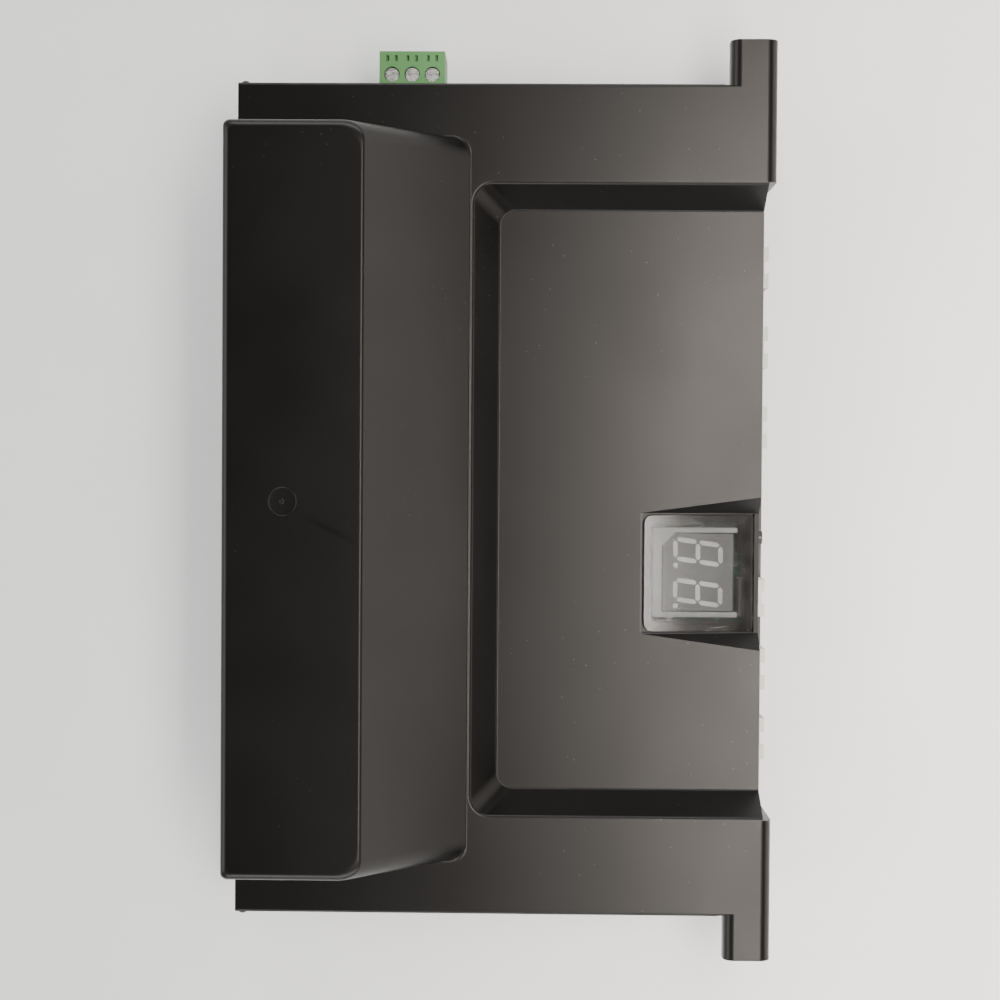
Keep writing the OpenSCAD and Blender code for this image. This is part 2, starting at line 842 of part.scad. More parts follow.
module fuse_caps() {
    color([0.8, 0.79, 0.75]) for (s = [0, 1]) translate([fuse_x, fuse_y, fuse_z])
        rotate([0, 90, s * 180]) translate([0, 0, fuse_l / 2 - cap_l]) difference() {
            cylinder(r = fuse_r, h = cap_l);
            translate([0, 0, -1]) cylinder(r = fuse_r - 0.25, h = cap_l + 0.6);
        }
}

module fuse_glass() {
    color([0.85, 0.9, 0.9, 0.4]) translate([fuse_x - fuse_l / 2 + 0.5, fuse_y, fuse_z])
        rotate([0, 90, 0]) cylinder(r = fuse_r - 0.3, h = fuse_l - 1);
}

// Flat chip with a leg block down each long side
module chip(size, legs, pitch) {
    translate([0, 0, 0.2 + size[2] / 2]) cube(size, center = true);
    for (s = [-1, 1], k = [0 : legs - 1])
        translate([s * (size[0] / 2 + 0.4), (k - (legs - 1) / 2) * pitch, 0.4])
            cube([0.85, pitch * 0.4, 0.8], center = true);
}

module microcontroller() {
    color([0.08, 0.08, 0.09]) translate([16, 8, board_top]) {
        chip([10, 10, 1.4], 12, 0.8);
        rotate([0, 0, 90]) chip([10, 10, 1.4], 12, 0.8);
    }
}

module logic_chips() {
    color([0.08, 0.08, 0.09]) for (y = [-14, -27]) translate([chip_x, y, board_top])
        chip([4, 9.9, 1.5], 8, 1.27);
}

module optocouplers() {
    color([0.88, 0.88, 0.85]) for (k = [0 : 3]) translate([side - 21, 20 + k * 6.2, board_top])
        chip([6.4, 4.6, 3.5], 2, 2.54);
}

module crystal() {
    color([0.8, 0.8, 0.8]) translate([16, 22, board_top]) {
        for (s = [-1, 1]) translate([s * 3.2, 0, 0]) cylinder(r = 2.2, h = 3.6);
        box_at([-3.2, -2.2, 0], [3.2, 2.2, 3.6]);
    }
}

module buzzer() {
    color([0.06, 0.06, 0.06]) translate([12, -45, board_top]) difference() {
        cylinder(r = 6, h = 8);
        translate([0, 0, 6]) cylinder(r = 1.2, h = 3);
    }
}

module surface_parts() {
    color([0.6, 0.5, 0.4]) {
        for (k = [0 : 6]) translate([2.5, -14 + 3.4 * k, board_top])
            box_at([-1, -0.6, 0], [1, 0.6, 0.6]);
        for (k = [0 : 5]) translate([21, -32 + 3.4 * k, board_top])
            box_at([-1, -0.6, 0], [1, 0.6, 0.6]);
    }
}

module terminal_bores() {
    for (k = [-1 : 1]) translate([k * pole_pitch, screw_y, 0]) {
        translate([0, 0, head_z - 0.1]) cylinder(r = terminal_head_r + 0.15, h = plug_h);
        translate([0, 0, pocket_top - eps]) cylinder(r = terminal_screw_r + running_fit, h = 2);
        half = cage_w / 2 + 0.12;
        box_at([-half, -half, cage_z - 0.1], [half, half, pocket_top]);
        box_at([-wire_half, 0, cage_z + cage_floor], [wire_half, plug_l + 1, bar_z + 0.05]);
        for (s = [-1, 1]) translate([s * 0.8, 3, plug_top]) cube([0.5, 1.1, 1.6], center = true);
    }
}

module contact_shape(k, grow) {
    low_y = plug_y - tongue_l + 0.6;
    translate([k * pole_pitch, 0, 0]) {
        box_at([-contact_half - grow, low_y - grow, bar_z - grow],
            [contact_half + grow, screw_y + 2.6 + grow, bar_z + bar_t + grow]);
        for (s = [-1, 1]) translate([s * spring_x, 0, 0])
            box_at([-spring_half - grow, low_y - grow, pin_z - 0.6 - grow],
                [spring_half + grow, plug_y - 0.4 + grow, bar_z + eps]);
    }
}

module plug_housing() {
    color([0.3, 0.62, 0.28]) translate([plug_x, 0, 0]) difference() {
        union() {
            box_at([-plug_half, plug_y, plug_z], [plug_half, plug_y + plug_l, plug_top]);
            box_at([-tongue_half, plug_y - tongue_l, tongue_z],
                [tongue_half, plug_y + eps, tongue_z + tongue_h]);
        }
        terminal_bores();
        for (k = [-1 : 1]) {
            contact_shape(k, pin_fit);
            translate([k * pole_pitch, 0, 0])
                box_at([-0.56, plug_y - tongue_l - 1, pin_z - 0.63], [0.56, plug_y, bar_z]);
        }
    }
}

module plug_contacts() {
    color([0.8, 0.78, 0.7]) translate([plug_x, 0, 0]) for (k = [-1 : 1]) contact_shape(k, 0);
}

module plug_screw(k) {
    tip = bar_z + bar_t + 0.1;
    color([0.8, 0.8, 0.82]) translate([plug_x + k * pole_pitch, screw_y, 0]) difference() {
        union() {
            translate([0, 0, head_z]) cylinder(r = terminal_head_r, h = head_t);
            translate([0, 0, tip]) cylinder(r = terminal_screw_r, h = head_z - tip + eps);
        }
        translate([-2, -0.2, head_z + head_t - 0.5]) cube([4, 0.4, 1]);
    }
}

module plug_clamp(k) {
    half = cage_w / 2;
    color([0.72, 0.72, 0.7]) translate([plug_x + k * pole_pitch, screw_y, 0]) difference() {
        box_at([-half, -half, cage_z], [half, half, cage_top]);
        box_at([cage_side - half, -half - 1, cage_z + cage_floor],
            [half - cage_side, half + 1, cage_top - cage_plate]);
        translate([0, 0, cage_top - 2]) cylinder(r = terminal_screw_r + running_fit, h = 3);
    }
}

cover();
display_window();
display_shroud();
base_tray();
circuit_board();
cover_screws();
board_screws();
led_body();
led_segments();
led_pins();
side_socket();
side_socket_pins();
header(0);  // header_1
header(1);  // header_2
header(2);  // header_3
header(3);  // header_4
header(4);  // header_5
header(5);  // header_6
header_pins();
button_body();
button_plunger();
transformer_core();
transformer_bobbin();
transformer_coil();
capacitor(0);  // capacitor_1
capacitor(1);  // capacitor_2
small_capacitors();
bridge_rectifier();
heatsink();
power_transistors();
heatsink_screws();
relay(1);  // relay_1
relay(-1);  // relay_2
fuse_clips();
fuse_glass();
fuse_caps();
microcontroller();
logic_chips();
optocouplers();
crystal();
buzzer();
surface_parts();
plug_housing();
plug_contacts();
plug_screw(-1);  // plug_screw_1
plug_screw(0);  // plug_screw_2
plug_screw(1);  // plug_screw_3
plug_clamp(-1);  // plug_clamp_1
plug_clamp(0);  // plug_clamp_2
plug_clamp(1);  // plug_clamp_3
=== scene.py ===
import json
import math

import bmesh
import bpy
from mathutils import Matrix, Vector


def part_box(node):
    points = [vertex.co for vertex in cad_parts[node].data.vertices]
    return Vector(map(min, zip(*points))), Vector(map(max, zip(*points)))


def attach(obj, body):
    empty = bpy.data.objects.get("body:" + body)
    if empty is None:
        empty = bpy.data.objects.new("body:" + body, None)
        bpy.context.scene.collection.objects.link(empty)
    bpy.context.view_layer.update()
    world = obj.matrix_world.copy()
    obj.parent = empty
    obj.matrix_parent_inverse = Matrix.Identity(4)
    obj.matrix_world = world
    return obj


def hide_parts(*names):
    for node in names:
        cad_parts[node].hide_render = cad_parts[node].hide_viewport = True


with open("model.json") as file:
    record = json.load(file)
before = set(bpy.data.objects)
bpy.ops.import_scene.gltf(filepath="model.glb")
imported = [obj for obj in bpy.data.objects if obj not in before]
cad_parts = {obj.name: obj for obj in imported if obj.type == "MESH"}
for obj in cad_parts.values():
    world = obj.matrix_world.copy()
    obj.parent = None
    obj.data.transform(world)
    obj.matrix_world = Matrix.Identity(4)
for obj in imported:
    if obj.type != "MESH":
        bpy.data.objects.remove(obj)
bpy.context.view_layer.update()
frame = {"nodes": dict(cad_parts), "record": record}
MM = 0.001

# ---------------------------------------------------------------- sizes, in mm
WALL = 2.0
CASE_SIDE = 50.0        # half the case's size in X, and CASE_END in Y
CASE_END = 77.0
EAR_W = 8.7
EAR_T = 4.0
EAR_BLEND = 1.5         # from the ear's side to the plate's plain edge
COVER_Z = 8.2           # lower edge of the cover
DRAFT_Z = 8.0           # where the drafted left wall is widest
PLATE_Z = 27.5
HUMP_Z = 47.5
FLOOR_Z = 20.5          # floor of the sunken panel
SIDE_DRAFT = math.tan(math.radians(1.0))
END_DRAFT = math.tan(math.radians(0.5))
CREST_X = -24.6         # the hump's slope at its top, and FOOT_X at the plate
FOOT_X = -6.7
HUMP_Y = 66.9           # half the hump's length
MOUTH_X = -6.0          # the sunken panel's mouth: its left side, and half its length
MOUTH_Y = 58.6
PANEL_WALL_X = 4.7      # how far the panel's walls lean in down to its floor
PANEL_WALL_Y = 4.0
PANEL_EDGE_X = 48.4     # the panel's open edge
RIM_R = 2.2             # the plate's rounded right edge, the ear's and the end's
EAR_R = 2.0
EDGE_R = 0.6
WINDOW_Y = -13.7        # middle of the window
WINDOW_W = 21.6         # down its slope
WINDOW_L = 22.4         # along Y
WINDOW_T = 1.2
WINDOW_START = 0.5      # from the top of the pocket's slope to the window
REBATE_GAP = 0.1
LEDGE_W = 1.3           # ledge that the window rests on
LEDGE_T = 1.0
TILT = math.radians(8.7)
POCKET_L = 22.8
POCKET_X = PANEL_EDGE_X - POCKET_L
POCKET_HALF = WINDOW_L / 2 + 0.2
POCKET_WALL = 1.2
FLARE = 0.89            # spread of the pocket's sides for each mm of their height
GATE_X = -38.5
GATE_R = 2.6
# share of the gate mark's radius, and depth
GATE_LEVELS = ((1.0, 0.0), (0.985, 0.09), (0.945, 0.2), (0.89, 0.25),
               (0.2, 0.25), (0.17, 0.14), (0.1, 0.06), (0.04, 0.05))
# the plug's opening in the +Y end wall: both sides in X, and its top
CUTOUT = (-24.9, -11.1, 20.8)
BOSS_X = 42.8           # the four posts that take the cover's screws
BOSS_Y = 69.8
BOSS_Z = 9.2
BOSS_R = 3.2
SCREW_R = 1.6
EAR_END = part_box("cover")[1][1] / MM
RIB_R = 1.1             # ribs at the ends of the left wall
RIB_PROUD = 0.45
RIB_INSET = 1.6
# height of each ring of a rib, and how much smaller the rib is there
RIB_LEVELS = ((COVER_Z, 0.1), (COVER_Z + 0.1, 0), (PLATE_Z - 1.1, 0),
              (PLATE_Z - 0.55, 0.2), (PLATE_Z - 0.3, 0.6))
# radii of the shell's edges; pairs run from the first loop to the last
INSIDE_R = 0.3
HUMP_FOOT_R = 0.6
HUMP_END_R = 1.7
HUMP_CREST_R = 1.0
HUMP_LEFT_R = 1.4
HUMP_SLOPE_CORNER = (2.9, 4.7)
HUMP_LEFT_CORNER = (0.9, 1.5)
PANEL_MOUTH_R = 0.9
PANEL_FLOOR_R = 0.55
PANEL_CORNER = (4.2, 2.3)
# steps of a fillet's profile, of an upright corner and of a round hole
ARC = 5
CORNER = 8
ROUND = 24
GATE_STEPS = 32
SMOOTH_ANGLE = 35
NORMAL_WEIGHT = 80
WELD_GAP = 1e-4
NO_LENGTH = 1e-5
FAR = 20                # a point beyond the end of a fillet's straight side


# ---------------------------------------------------------------- mesh helpers
def new_object(name, bm, body, slot):
    """Turns a bmesh in mm into a piece that rides on a body, with its slot's finish."""
    bmesh.ops.scale(bm, vec=(MM, MM, MM), verts=bm.verts)
    mesh = bpy.data.meshes.new(name)
    bm.to_mesh(mesh)
    bm.free()
    obj = bpy.data.objects.new(name, mesh)
    bpy.context.scene.collection.objects.link(obj)
    mesh.materials.append(FINISHES[slot].material)
    mesh.polygons.foreach_set("use_smooth", [True] * len(mesh.polygons))
    mesh.set_sharp_from_angle(angle=math.radians(SMOOTH_ANGLE))
    normals = obj.modifiers.new("weighted", "WEIGHTED_NORMAL")
    normals.keep_sharp = True
    normals.weight = NORMAL_WEIGHT
    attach(obj, body)
    return obj


class Soup:
    """Collects polygons as lists of points in mm and welds them into one mesh."""

    def __init__(self):
        self.polygons = []

    def add(self, *points):
        self.polygons.append([tuple(p) for p in points])

    def bands(self, rings, closed=True):
        for low, high in zip(rings, rings[1:]):
            count = len(low)
            for i in range(count if closed else count - 1):
                k = (i + 1) % count
                self.add(low[i], low[k], high[k], high[i])

    def prism(self, rings):
        """Bands with a face over the first ring and one over the last."""
        self.bands(rings)
        self.add(*rings[0])
        self.add(*rings[-1])

    def tube(self, x, y, z0, z1, r, hole=None):
        """Upright post, with a bore through it when hole is given."""
        outer = [circle(x, y, z, r) for z in (z0, z1)]
        if hole is None:
            self.prism(outer)
            return
        inner = [circle(x, y, z, hole) for z in (z0, z1)]
        self.bands(outer)
        self.bands(inner)
        self.bands([outer[0], inner[0]])
        self.bands([outer[1], inner[1]])

    def weld(self):
        """The polygons as a bmesh, joined where their corners meet."""
        bm = bmesh.new()
        for points in self.polygons:
            clean = [p for i, p in enumerate(points)
                     if (Vector(p) - Vector(points[i - 1])).length > NO_LENGTH]
            if len(clean) > 2:
                bm.faces.new([bm.verts.new(p) for p in clean])
        bmesh.ops.remove_doubles(bm, verts=bm.verts, dist=WELD_GAP)
        bmesh.ops.dissolve_degenerate(bm, edges=bm.edges, dist=NO_LENGTH)
        bmesh.ops.recalc_face_normals(bm, faces=bm.faces)
        return bm


def circle(x, y, z, r, count=ROUND):
    turns = [2 * math.pi * i / count for i in range(count)]
    return [(x + r * math.cos(a), y + r * math.sin(a), z) for a in turns]


def quarter():
    """Sine, cosine and eased share at each step of a quarter turn."""
    for i in range(CORNER + 1):
        a = math.pi / 2 * i / CORNER
        yield math.sin(a), math.cos(a), math.sin(a) ** 2


def between(pair, share):
    """The value at a share of the way from the pair's first to its second."""
    return pair[0] + (pair[1] - pair[0]) * share


def fillet(a, b, c, r, count=ARC):
    """count + 1 points of an arc of radius r that rounds the corner at b."""
    a, b, c = Vector(a), Vector(b), Vector(c)
    to_a, to_c = (a - b).normalized(), (c - b).normalized()
    angle = to_a.angle(to_c)
    reach = r / math.tan(angle / 2)
    centre = b + (to_a + to_c).normalized() * (r / math.sin(angle / 2))
    start, end = b + to_a * reach - centre, b + to_c * reach - centre
    turn = math.pi - angle
    sign = 1 if start.x * end.y - start.y * end.x > 0 else -1
    out = []
    for i in range(count + 1):
        t = sign * turn * i / count
        out.append((centre.x + start.x * math.cos(t) - start.y * math.sin(t),
                    centre.y + start.x * math.sin(t) + start.y * math.cos(t)))
    return out


# ---------------------------------------------------------------- cover
# t is 0 for the shell's outside and the wall's thickness for its inside
def slope_x(z, t):
    """X of the hump's slope at a height."""
    run = (FOOT_X - CREST_X) / (HUMP_Z - PLATE_Z)
    return CREST_X + (HUMP_Z - z) * run - t * math.hypot(1, run)


def panel_x(z, t):
    """X of the sunken panel's left wall at a height."""
    run = PANEL_WALL_X / (PLATE_Z - FLOOR_Z)
    return MOUTH_X + (PLATE_Z - z) * run - t * math.hypot(1, run)


def panel_y(z, t):
    """Y of the sunken panel's end wall at a height."""
    run = PANEL_WALL_Y / (PLATE_Z - FLOOR_Z)
    return MOUTH_Y - (PLATE_Z - z) * run + t * math.hypot(1, run)


def left_x(z, t):
    """X of the long left wall at a height."""
    return -CASE_SIDE + (z - DRAFT_Z) * SIDE_DRAFT + t


def hump_rings(t):
    """Loops round the hump from its foot to its flat top, each side with its own profile."""
    low, top = PLATE_Z - t, HUMP_Z - t
    rise = top - low
    foot_r, end_r, crest_r, left_r = HUMP_FOOT_R, HUMP_END_R, HUMP_CREST_R, HUMP_LEFT_R
    if t:
        foot_r = end_r = crest_r = left_r = INSIDE_R
    end_top = -rise * END_DRAFT
    ends = fillet((FAR, low), (0, low), (end_top, top), foot_r)
    ends += fillet((0, low), (end_top, top), (-FAR, top), end_r)
    width = slope_x(low, t) - slope_x(top, t)
    slope = fillet((FAR, low), (0, low), (-width, top), foot_r)
    slope += fillet((0, low), (-width, top), (-2 * width, top), crest_r)
    left_top = -rise * SIDE_DRAFT
    left = [(-(z - low) * SIDE_DRAFT, z) for _, z in ends[:ARC + 1]]
    left += fillet((0, low), (left_top, top), (-FAR, top), left_r)
    rings = []
    for j in range(len(ends)):
        share = j / (len(ends) - 1)
        r_slope = between(HUMP_SLOPE_CORNER, share)
        r_left = between(HUMP_LEFT_CORNER, share)
        x_left, z_left = left_x(low, t) - left[j][0], left[j][1]
        x_slope, z_slope = slope_x(low, t) + slope[j][0], slope[j][1]
        y_end, z_end = HUMP_Y - t + ends[j][0], ends[j][1]
        half = [(x_left, 0, z_left)]
        half += [(x_left + r_left * (1 - cos), y_end - r_left * (1 - sin),
                  between((z_left, z_end), share)) for sin, cos, share in quarter()]
        half += [(x_slope - r_slope * (1 - sin), y_end - r_slope * (1 - cos),
                  between((z_end, z_slope), share)) for sin, cos, share in quarter()]
        half.append((x_slope, 0, z_slope))
        rings.append(half + mirrored(half[1:-1])[::-1])
    return rings


def rim_steps():
    """Inset and drop of each line of the rounded right rim, from the flat to the side."""
    out = []
    for k in range(ARC + 3):
        a = math.pi / 2 * k / (ARC + 2)
        out.append((RIM_R * (1 - math.sin(a)), RIM_R * (1 - math.cos(a))))
    return out


def panel_rings(t):
    """Open loops round the sunken panel, from the mouth down to its floor."""
    top, low = PLATE_Z - t, FLOOR_Z - t
    mouth_r, floor_r = (PANEL_MOUTH_R, PANEL_FLOOR_R) if t == 0 else (INSIDE_R, INSIDE_R)
    side_foot = (panel_x(low, t) - panel_x(top, t), low)
    side = fillet((-FAR, top), (0, top), side_foot, mouth_r)
    side += fillet((0, top), side_foot, (FAR, low), floor_r)
    end_foot = (panel_y(top, t) - panel_y(low, t), low)
    ends = fillet((-FAR, top), (0, top), end_foot, mouth_r)
    ends += fillet((0, top), end_foot, (FAR, low), floor_r)
    rings = []
    for j in range(len(ends)):
        r = between(PANEL_CORNER, j / (len(ends) - 1))
        x_side, z_side = panel_x(top, t) + side[j][0], side[j][1]
        y_end, z_end = panel_y(top, t) - ends[j][0], ends[j][1]
        if t:
            half = [(CASE_SIDE - t, y_end, z_end)]
        elif j:
            half = [(PANEL_EDGE_X, y_end, z_end)] * len(rim_steps())
        else:
            half = [(CASE_SIDE - inset, y_end, z_end - drop)
                    for inset, drop in reversed(rim_steps())]
        half += [(x_side + r * (1 - sin), y_end - r * (1 - cos),
                  between((z_end, z_side), share)) for sin, cos, share in quarter()]
        rings.append(half + mirrored(half)[::-1])
    return rings


def outline_rings(t, y_mouth, y_hump):
    """Loops that round the plate's outer edge at one end, past the ear."""
    top = PLATE_Z - t
    x_left, x_right, y_end = left_x(top, t), CASE_SIDE - t, CASE_END - t
    if t:
        return [[(x_right, y_mouth, top), (x_right, y_end, top), (x_left, y_end, top),
                 (x_left, y_hump, top)]]
    ear_x = CASE_SIDE - EAR_W
    rings = []
    for inset, drop in rim_steps():
        share, fall = inset / RIM_R, drop / RIM_R
        y_edge = y_end - EDGE_R * share
        rings.append([
            (x_right - inset, y_mouth, top - drop),
            (x_right - inset, EAR_END, top - drop),
            (ear_x + EAR_R * share, EAR_END, top - EAR_R * fall),
            (ear_x + EAR_R * share, y_edge, top - EAR_R * fall),
            (ear_x - EAR_BLEND, y_edge, top - EDGE_R * fall),
            (x_left, y_edge, top - EDGE_R * fall),
            (x_left, y_hump, top)])
    return rings


def mirrored(points):
    return [(x, -y, z) for x, y, z in points]


def both_ends(soup, *points):
    soup.add(*points)
    soup.add(*mirrored(points))


def add_hump(soup, t):
    """Hump with its top, and the gate mark outside. Returns the loop round its foot."""
    rings = hump_rings(t)
    soup.bands(rings)
    cap = rings[-1]
    if t:
        soup.add(*cap)
        return rings[0]
    circles = [circle(GATE_X, 0, HUMP_Z - depth, GATE_R * share, GATE_STEPS)
               for share, depth in GATE_LEVELS]
    soup.bands(circles)
    soup.add(*circles[-1])
    # the top round the gate mark, as two halves
    around = circles[0]
    middle, half = len(cap) // 2, GATE_STEPS // 2
    soup.add(*(cap[:middle + 1] + around[:half + 1]))
    soup.add(*(cap[middle:] + cap[:1] + around[half:] + around[:1]))
    return rings[0]


def ramp_point(along, y, depth=0.0):
    """A point of the window's slope: distance down it, y, and depth below it."""
    return (POCKET_X + along * math.cos(TILT) - depth * math.sin(TILT), y,
            FLOOR_Z - along * math.sin(TILT) - depth * math.cos(TILT))


def add_pocket(soup):
    """Window pocket with its rebate, ledge and flared sides.

    Returns the outlines it cuts in the panel's floor, in the floor's underside, and in the
    top and the bottom of the panel's front edge."""
    def loop(start, end, half, depth):
        return [ramp_point(start, WINDOW_Y - half, depth), ramp_point(end, WINDOW_Y - half, depth),
                ramp_point(end, WINDOW_Y + half, depth), ramp_point(start, WINDOW_Y + half, depth)]

    def row(x, half, z):
        """A point on each side of the window's middle."""
        return (x, WINDOW_Y - half, z), (x, WINDOW_Y + half, z)

    depth = WINDOW_T + LEDGE_T
    window_end = WINDOW_START + WINDOW_W
    rebate = (WINDOW_START - REBATE_GAP, window_end + REBATE_GAP, WINDOW_L / 2 + REBATE_GAP)
    ledge = (WINDOW_START + LEDGE_W, window_end - LEDGE_W, WINDOW_L / 2 - LEDGE_W)
    levels = [loop(0, POCKET_L / math.cos(TILT), POCKET_HALF, 0), loop(*rebate, 0),
              loop(*rebate, WINDOW_T), loop(*ledge, WINDOW_T), loop(*ledge, depth)]
    soup.bands(levels)
    # underside of the pocket, where it stands below the panel
    run = math.tan(TILT)
    flat = FLOOR_Z - WALL
    under_x = POCKET_X - (depth / math.cos(TILT) - WALL) / run
    under_z = flat - (PANEL_EDGE_X - under_x) * run
    half = POCKET_HALF + POCKET_WALL
    under_low, under_high = row(under_x, half, flat)
    foot_low, foot_high = row(PANEL_EDGE_X, half, under_z)
    spread_low, spread_high = row(PANEL_EDGE_X, half + (flat - under_z) * FLARE, flat)
    soup.bands([levels[-1], [under_low, foot_low, foot_high, under_high]])
    # flared sides
    back_low, back_high = row(POCKET_X, POCKET_HALF, FLOOR_Z)
    deep_low, deep_high = row(PANEL_EDGE_X, POCKET_HALF, FLOOR_Z - POCKET_L * run)
    wide_low, wide_high = row(PANEL_EDGE_X, POCKET_HALF + POCKET_L * run * FLARE, FLOOR_Z)
    for back, wide, deep, under, spread, foot in (
            (back_low, wide_low, deep_low, under_low, spread_low, foot_low),
            (back_high, wide_high, deep_high, under_high, spread_high, foot_high)):
        soup.add(back, wide, deep)
        soup.add(under, spread, foot)
    return ([wide_low, back_low, back_high, wide_high],
            [spread_low, under_low, under_high, spread_high],
            [wide_low, deep_low, deep_high, wide_high],
            [spread_low, foot_low, foot_high, spread_high])


def add_rim(soup, y_front, y_step, y_mouth):
    """Bottom rim of the walls, and the sides of the plug's cutout."""
    cut_a, cut_b, cut_z = CUTOUT
    z0 = COVER_Z
    out_l, out_r, out_e = -CASE_SIDE, CASE_SIDE, CASE_END
    in_l, in_r, in_e = -CASE_SIDE + WALL, CASE_SIDE - WALL, CASE_END - WALL
    notch = [(cut_a, z0), (cut_a, cut_z), (cut_b, cut_z), (cut_b, z0)]
    cheek = [(out_r, y_mouth, z0), (PANEL_EDGE_X, y_step, z0), (PANEL_EDGE_X, y_front, z0)]
    soup.add(*(cheek[::-1] + [(out_r, out_e, z0), (cut_b, out_e, z0), (cut_b, in_e, z0),
                              (in_r, in_e, z0), (in_r, y_front, z0)]))
    soup.add(*([(cut_a, out_e, z0), (out_l, out_e, z0), (out_l, -out_e, z0), (out_r, -out_e, z0)]
               + mirrored(cheek) + [(in_r, -y_front, z0), (in_r, -in_e, z0), (in_l, -in_e, z0),
                                    (in_l, in_e, z0), (cut_a, in_e, z0)]))
    soup.bands([[(x, y, z) for x, z in notch] for y in (out_e, in_e)], closed=False)


def add_ribs(soup):
    """Upright rounded ribs that stand a little proud of the end walls at the long side."""
    x, y = RIB_INSET - CASE_SIDE, CASE_END + RIB_PROUD - RIB_R
    rings = [circle(x, y, z, RIB_R - shrink) for z, shrink in RIB_LEVELS]
    soup.prism([mirrored(ring) for ring in rings])
    soup.prism(rings)


def add_plate(soup, t, foot, panel):
    """Plate between the hump's foot and the panel's mouth. Returns its outer edge."""
    columns = 1 if t else len(rim_steps())
    mouth = panel[0]
    around = foot[1:]
    rings = outline_rings(t, mouth[0][1], around[0][1])
    soup.bands(rings, closed=False)
    soup.bands([mirrored(ring) for ring in rings], closed=False)
    soup.add(*(rings[0] + around[1:-1] + mirrored(rings[0])[::-1]
               + mouth[columns:-columns][::-1]))
    return rings


def add_sides(soup, t, foot, panel, rings, y_front):
    """Long left wall, end walls, and the walls beside the panel's open edge."""
    z0 = COVER_Z
    cut_a, cut_b, cut_z = CUTOUT
    x_right, y_end = CASE_SIDE - t, CASE_END - t
    last = rings[-1]
    low_left = (-CASE_SIDE + t, y_end, z0)
    left = [low_left, last[-2], rings[0][-1]]
    soup.add(*(left + [foot[0]] + mirrored(left)[::-1]))
    if t:
        wall = [last[2], last[1], (x_right, y_end, z0)]
        right = [(x_right, y_front, z0), (x_right, y_end, z0), last[1], last[0]]
        right += [ring[0] for ring in panel[1:]] + [(x_right, y_front, FLOOR_Z - WALL)]
    else:
        # the ear's underside starts at the end wall, and the panel's cheek at its mouth
        under, ear_x = PLATE_Z - EAR_T, CASE_SIDE - EAR_W
        y_mouth, y_step = panel[0][0][1], panel[1][0][1]
        wall_corners = (ear_x, y_end, under), (x_right, y_end, under)
        ear_corners = (ear_x, EAR_END, under), (x_right, EAR_END, under)
        wall = [last[5], last[4], last[3], *wall_corners, (x_right, y_end, z0)]
        both_ends(soup, last[1], ear_corners[1], ear_corners[0], last[2])
        both_ends(soup, last[2], last[3], wall_corners[0], ear_corners[0])
        both_ends(soup, *wall_corners, ear_corners[1], ear_corners[0])
        both_ends(soup, (x_right, y_mouth, z0), (x_right, y_end, z0), wall_corners[1],
                  ear_corners[1], last[1], last[0])
        both_ends(soup, last[0], panel[1][0], (PANEL_EDGE_X, y_step, z0), (x_right, y_mouth, z0))
        right = [(PANEL_EDGE_X, y_front, z0), (PANEL_EDGE_X, y_step, z0)]
        right += [ring[0] for ring in panel[1:]] + [(PANEL_EDGE_X, y_front, FLOOR_Z - WALL)]
    soup.add(*(wall + [(cut_b, y_end, z0), (cut_b, y_end, cut_z), (cut_a, y_end, cut_z),
                       (cut_a, y_end, z0), low_left]))
    soup.add(*mirrored(wall + [low_left]))
    both_ends(soup, *right)


def add_panel_floor(soup, outer, inner):
    """Panel floor, its underside and its front edge, with the window pocket in all three."""
    pocket, under_pocket, edge_top, edge_low = add_pocket(soup)
    y_front, flat, inside_x = outer[0][1], FLOOR_Z - WALL, CASE_SIDE - WALL
    corner, inside = (PANEL_EDGE_X, y_front, flat), (inside_x, y_front, flat)
    edge = [(PANEL_EDGE_X, y_front, FLOOR_Z), corner]
    soup.add(*(outer + pocket))
    soup.add(*(inner + mirrored([inside, corner]) + under_pocket + [corner, inside]))
    soup.add(*(mirrored(edge[:1]) + edge_top + edge + edge_low[::-1] + mirrored(edge[1:])))
    both_ends(soup, corner, inside, (inside_x, y_front, COVER_Z), (PANEL_EDGE_X, y_front, COVER_Z))


def cover_mesh():
    soup = Soup()
    add_ribs(soup)
    for x in (-BOSS_X, BOSS_X):
        for y in (-BOSS_Y, BOSS_Y):
            soup.tube(x, y, BOSS_Z, PLATE_Z - WALL / 2, BOSS_R, SCREW_R)
    thicknesses = (0, WALL)
    feet = [add_hump(soup, t) for t in thicknesses]
    panels = [panel_rings(t) for t in thicknesses]
    for panel in panels:
        soup.bands(panel, closed=False)
    outer, inner = panels
    y_front, y_step, y_mouth = (outer[j][0][1] for j in (-1, 1, 0))
    add_rim(soup, y_front, y_step, y_mouth)
    for t, foot, panel in zip(thicknesses, feet, panels):
        rings = add_plate(soup, t, foot, panel)
        add_sides(soup, t, foot, panel, rings, y_front)
    add_panel_floor(soup, outer[-1], inner[-1])
    return soup.weld()


# ---------------------------------------------------------------- materials
# the faint, glossier streak beside the gate mark: degrees, mm, and its drop in roughness
STREAK_ANGLE = -31
STREAK_HALF = 0.7
STREAK_BEND = 0.6
STREAK_START = (4, 8)
STREAK_END = (11, 17)
STREAK_GLOSS = 0.06
# painted shade: round the display's frame the window is made darker and more opaque, standing in
# for the shade of the space behind it; it fades in over this many mm outside the frame
PAINTED_SHADE_FADE = 1.0
PAINTED_SHADE_ALPHA = 0.44
# sockets of a Mix node that is set to colour
MIX_A, MIX_B, MIX_RESULT = 6, 7, 2


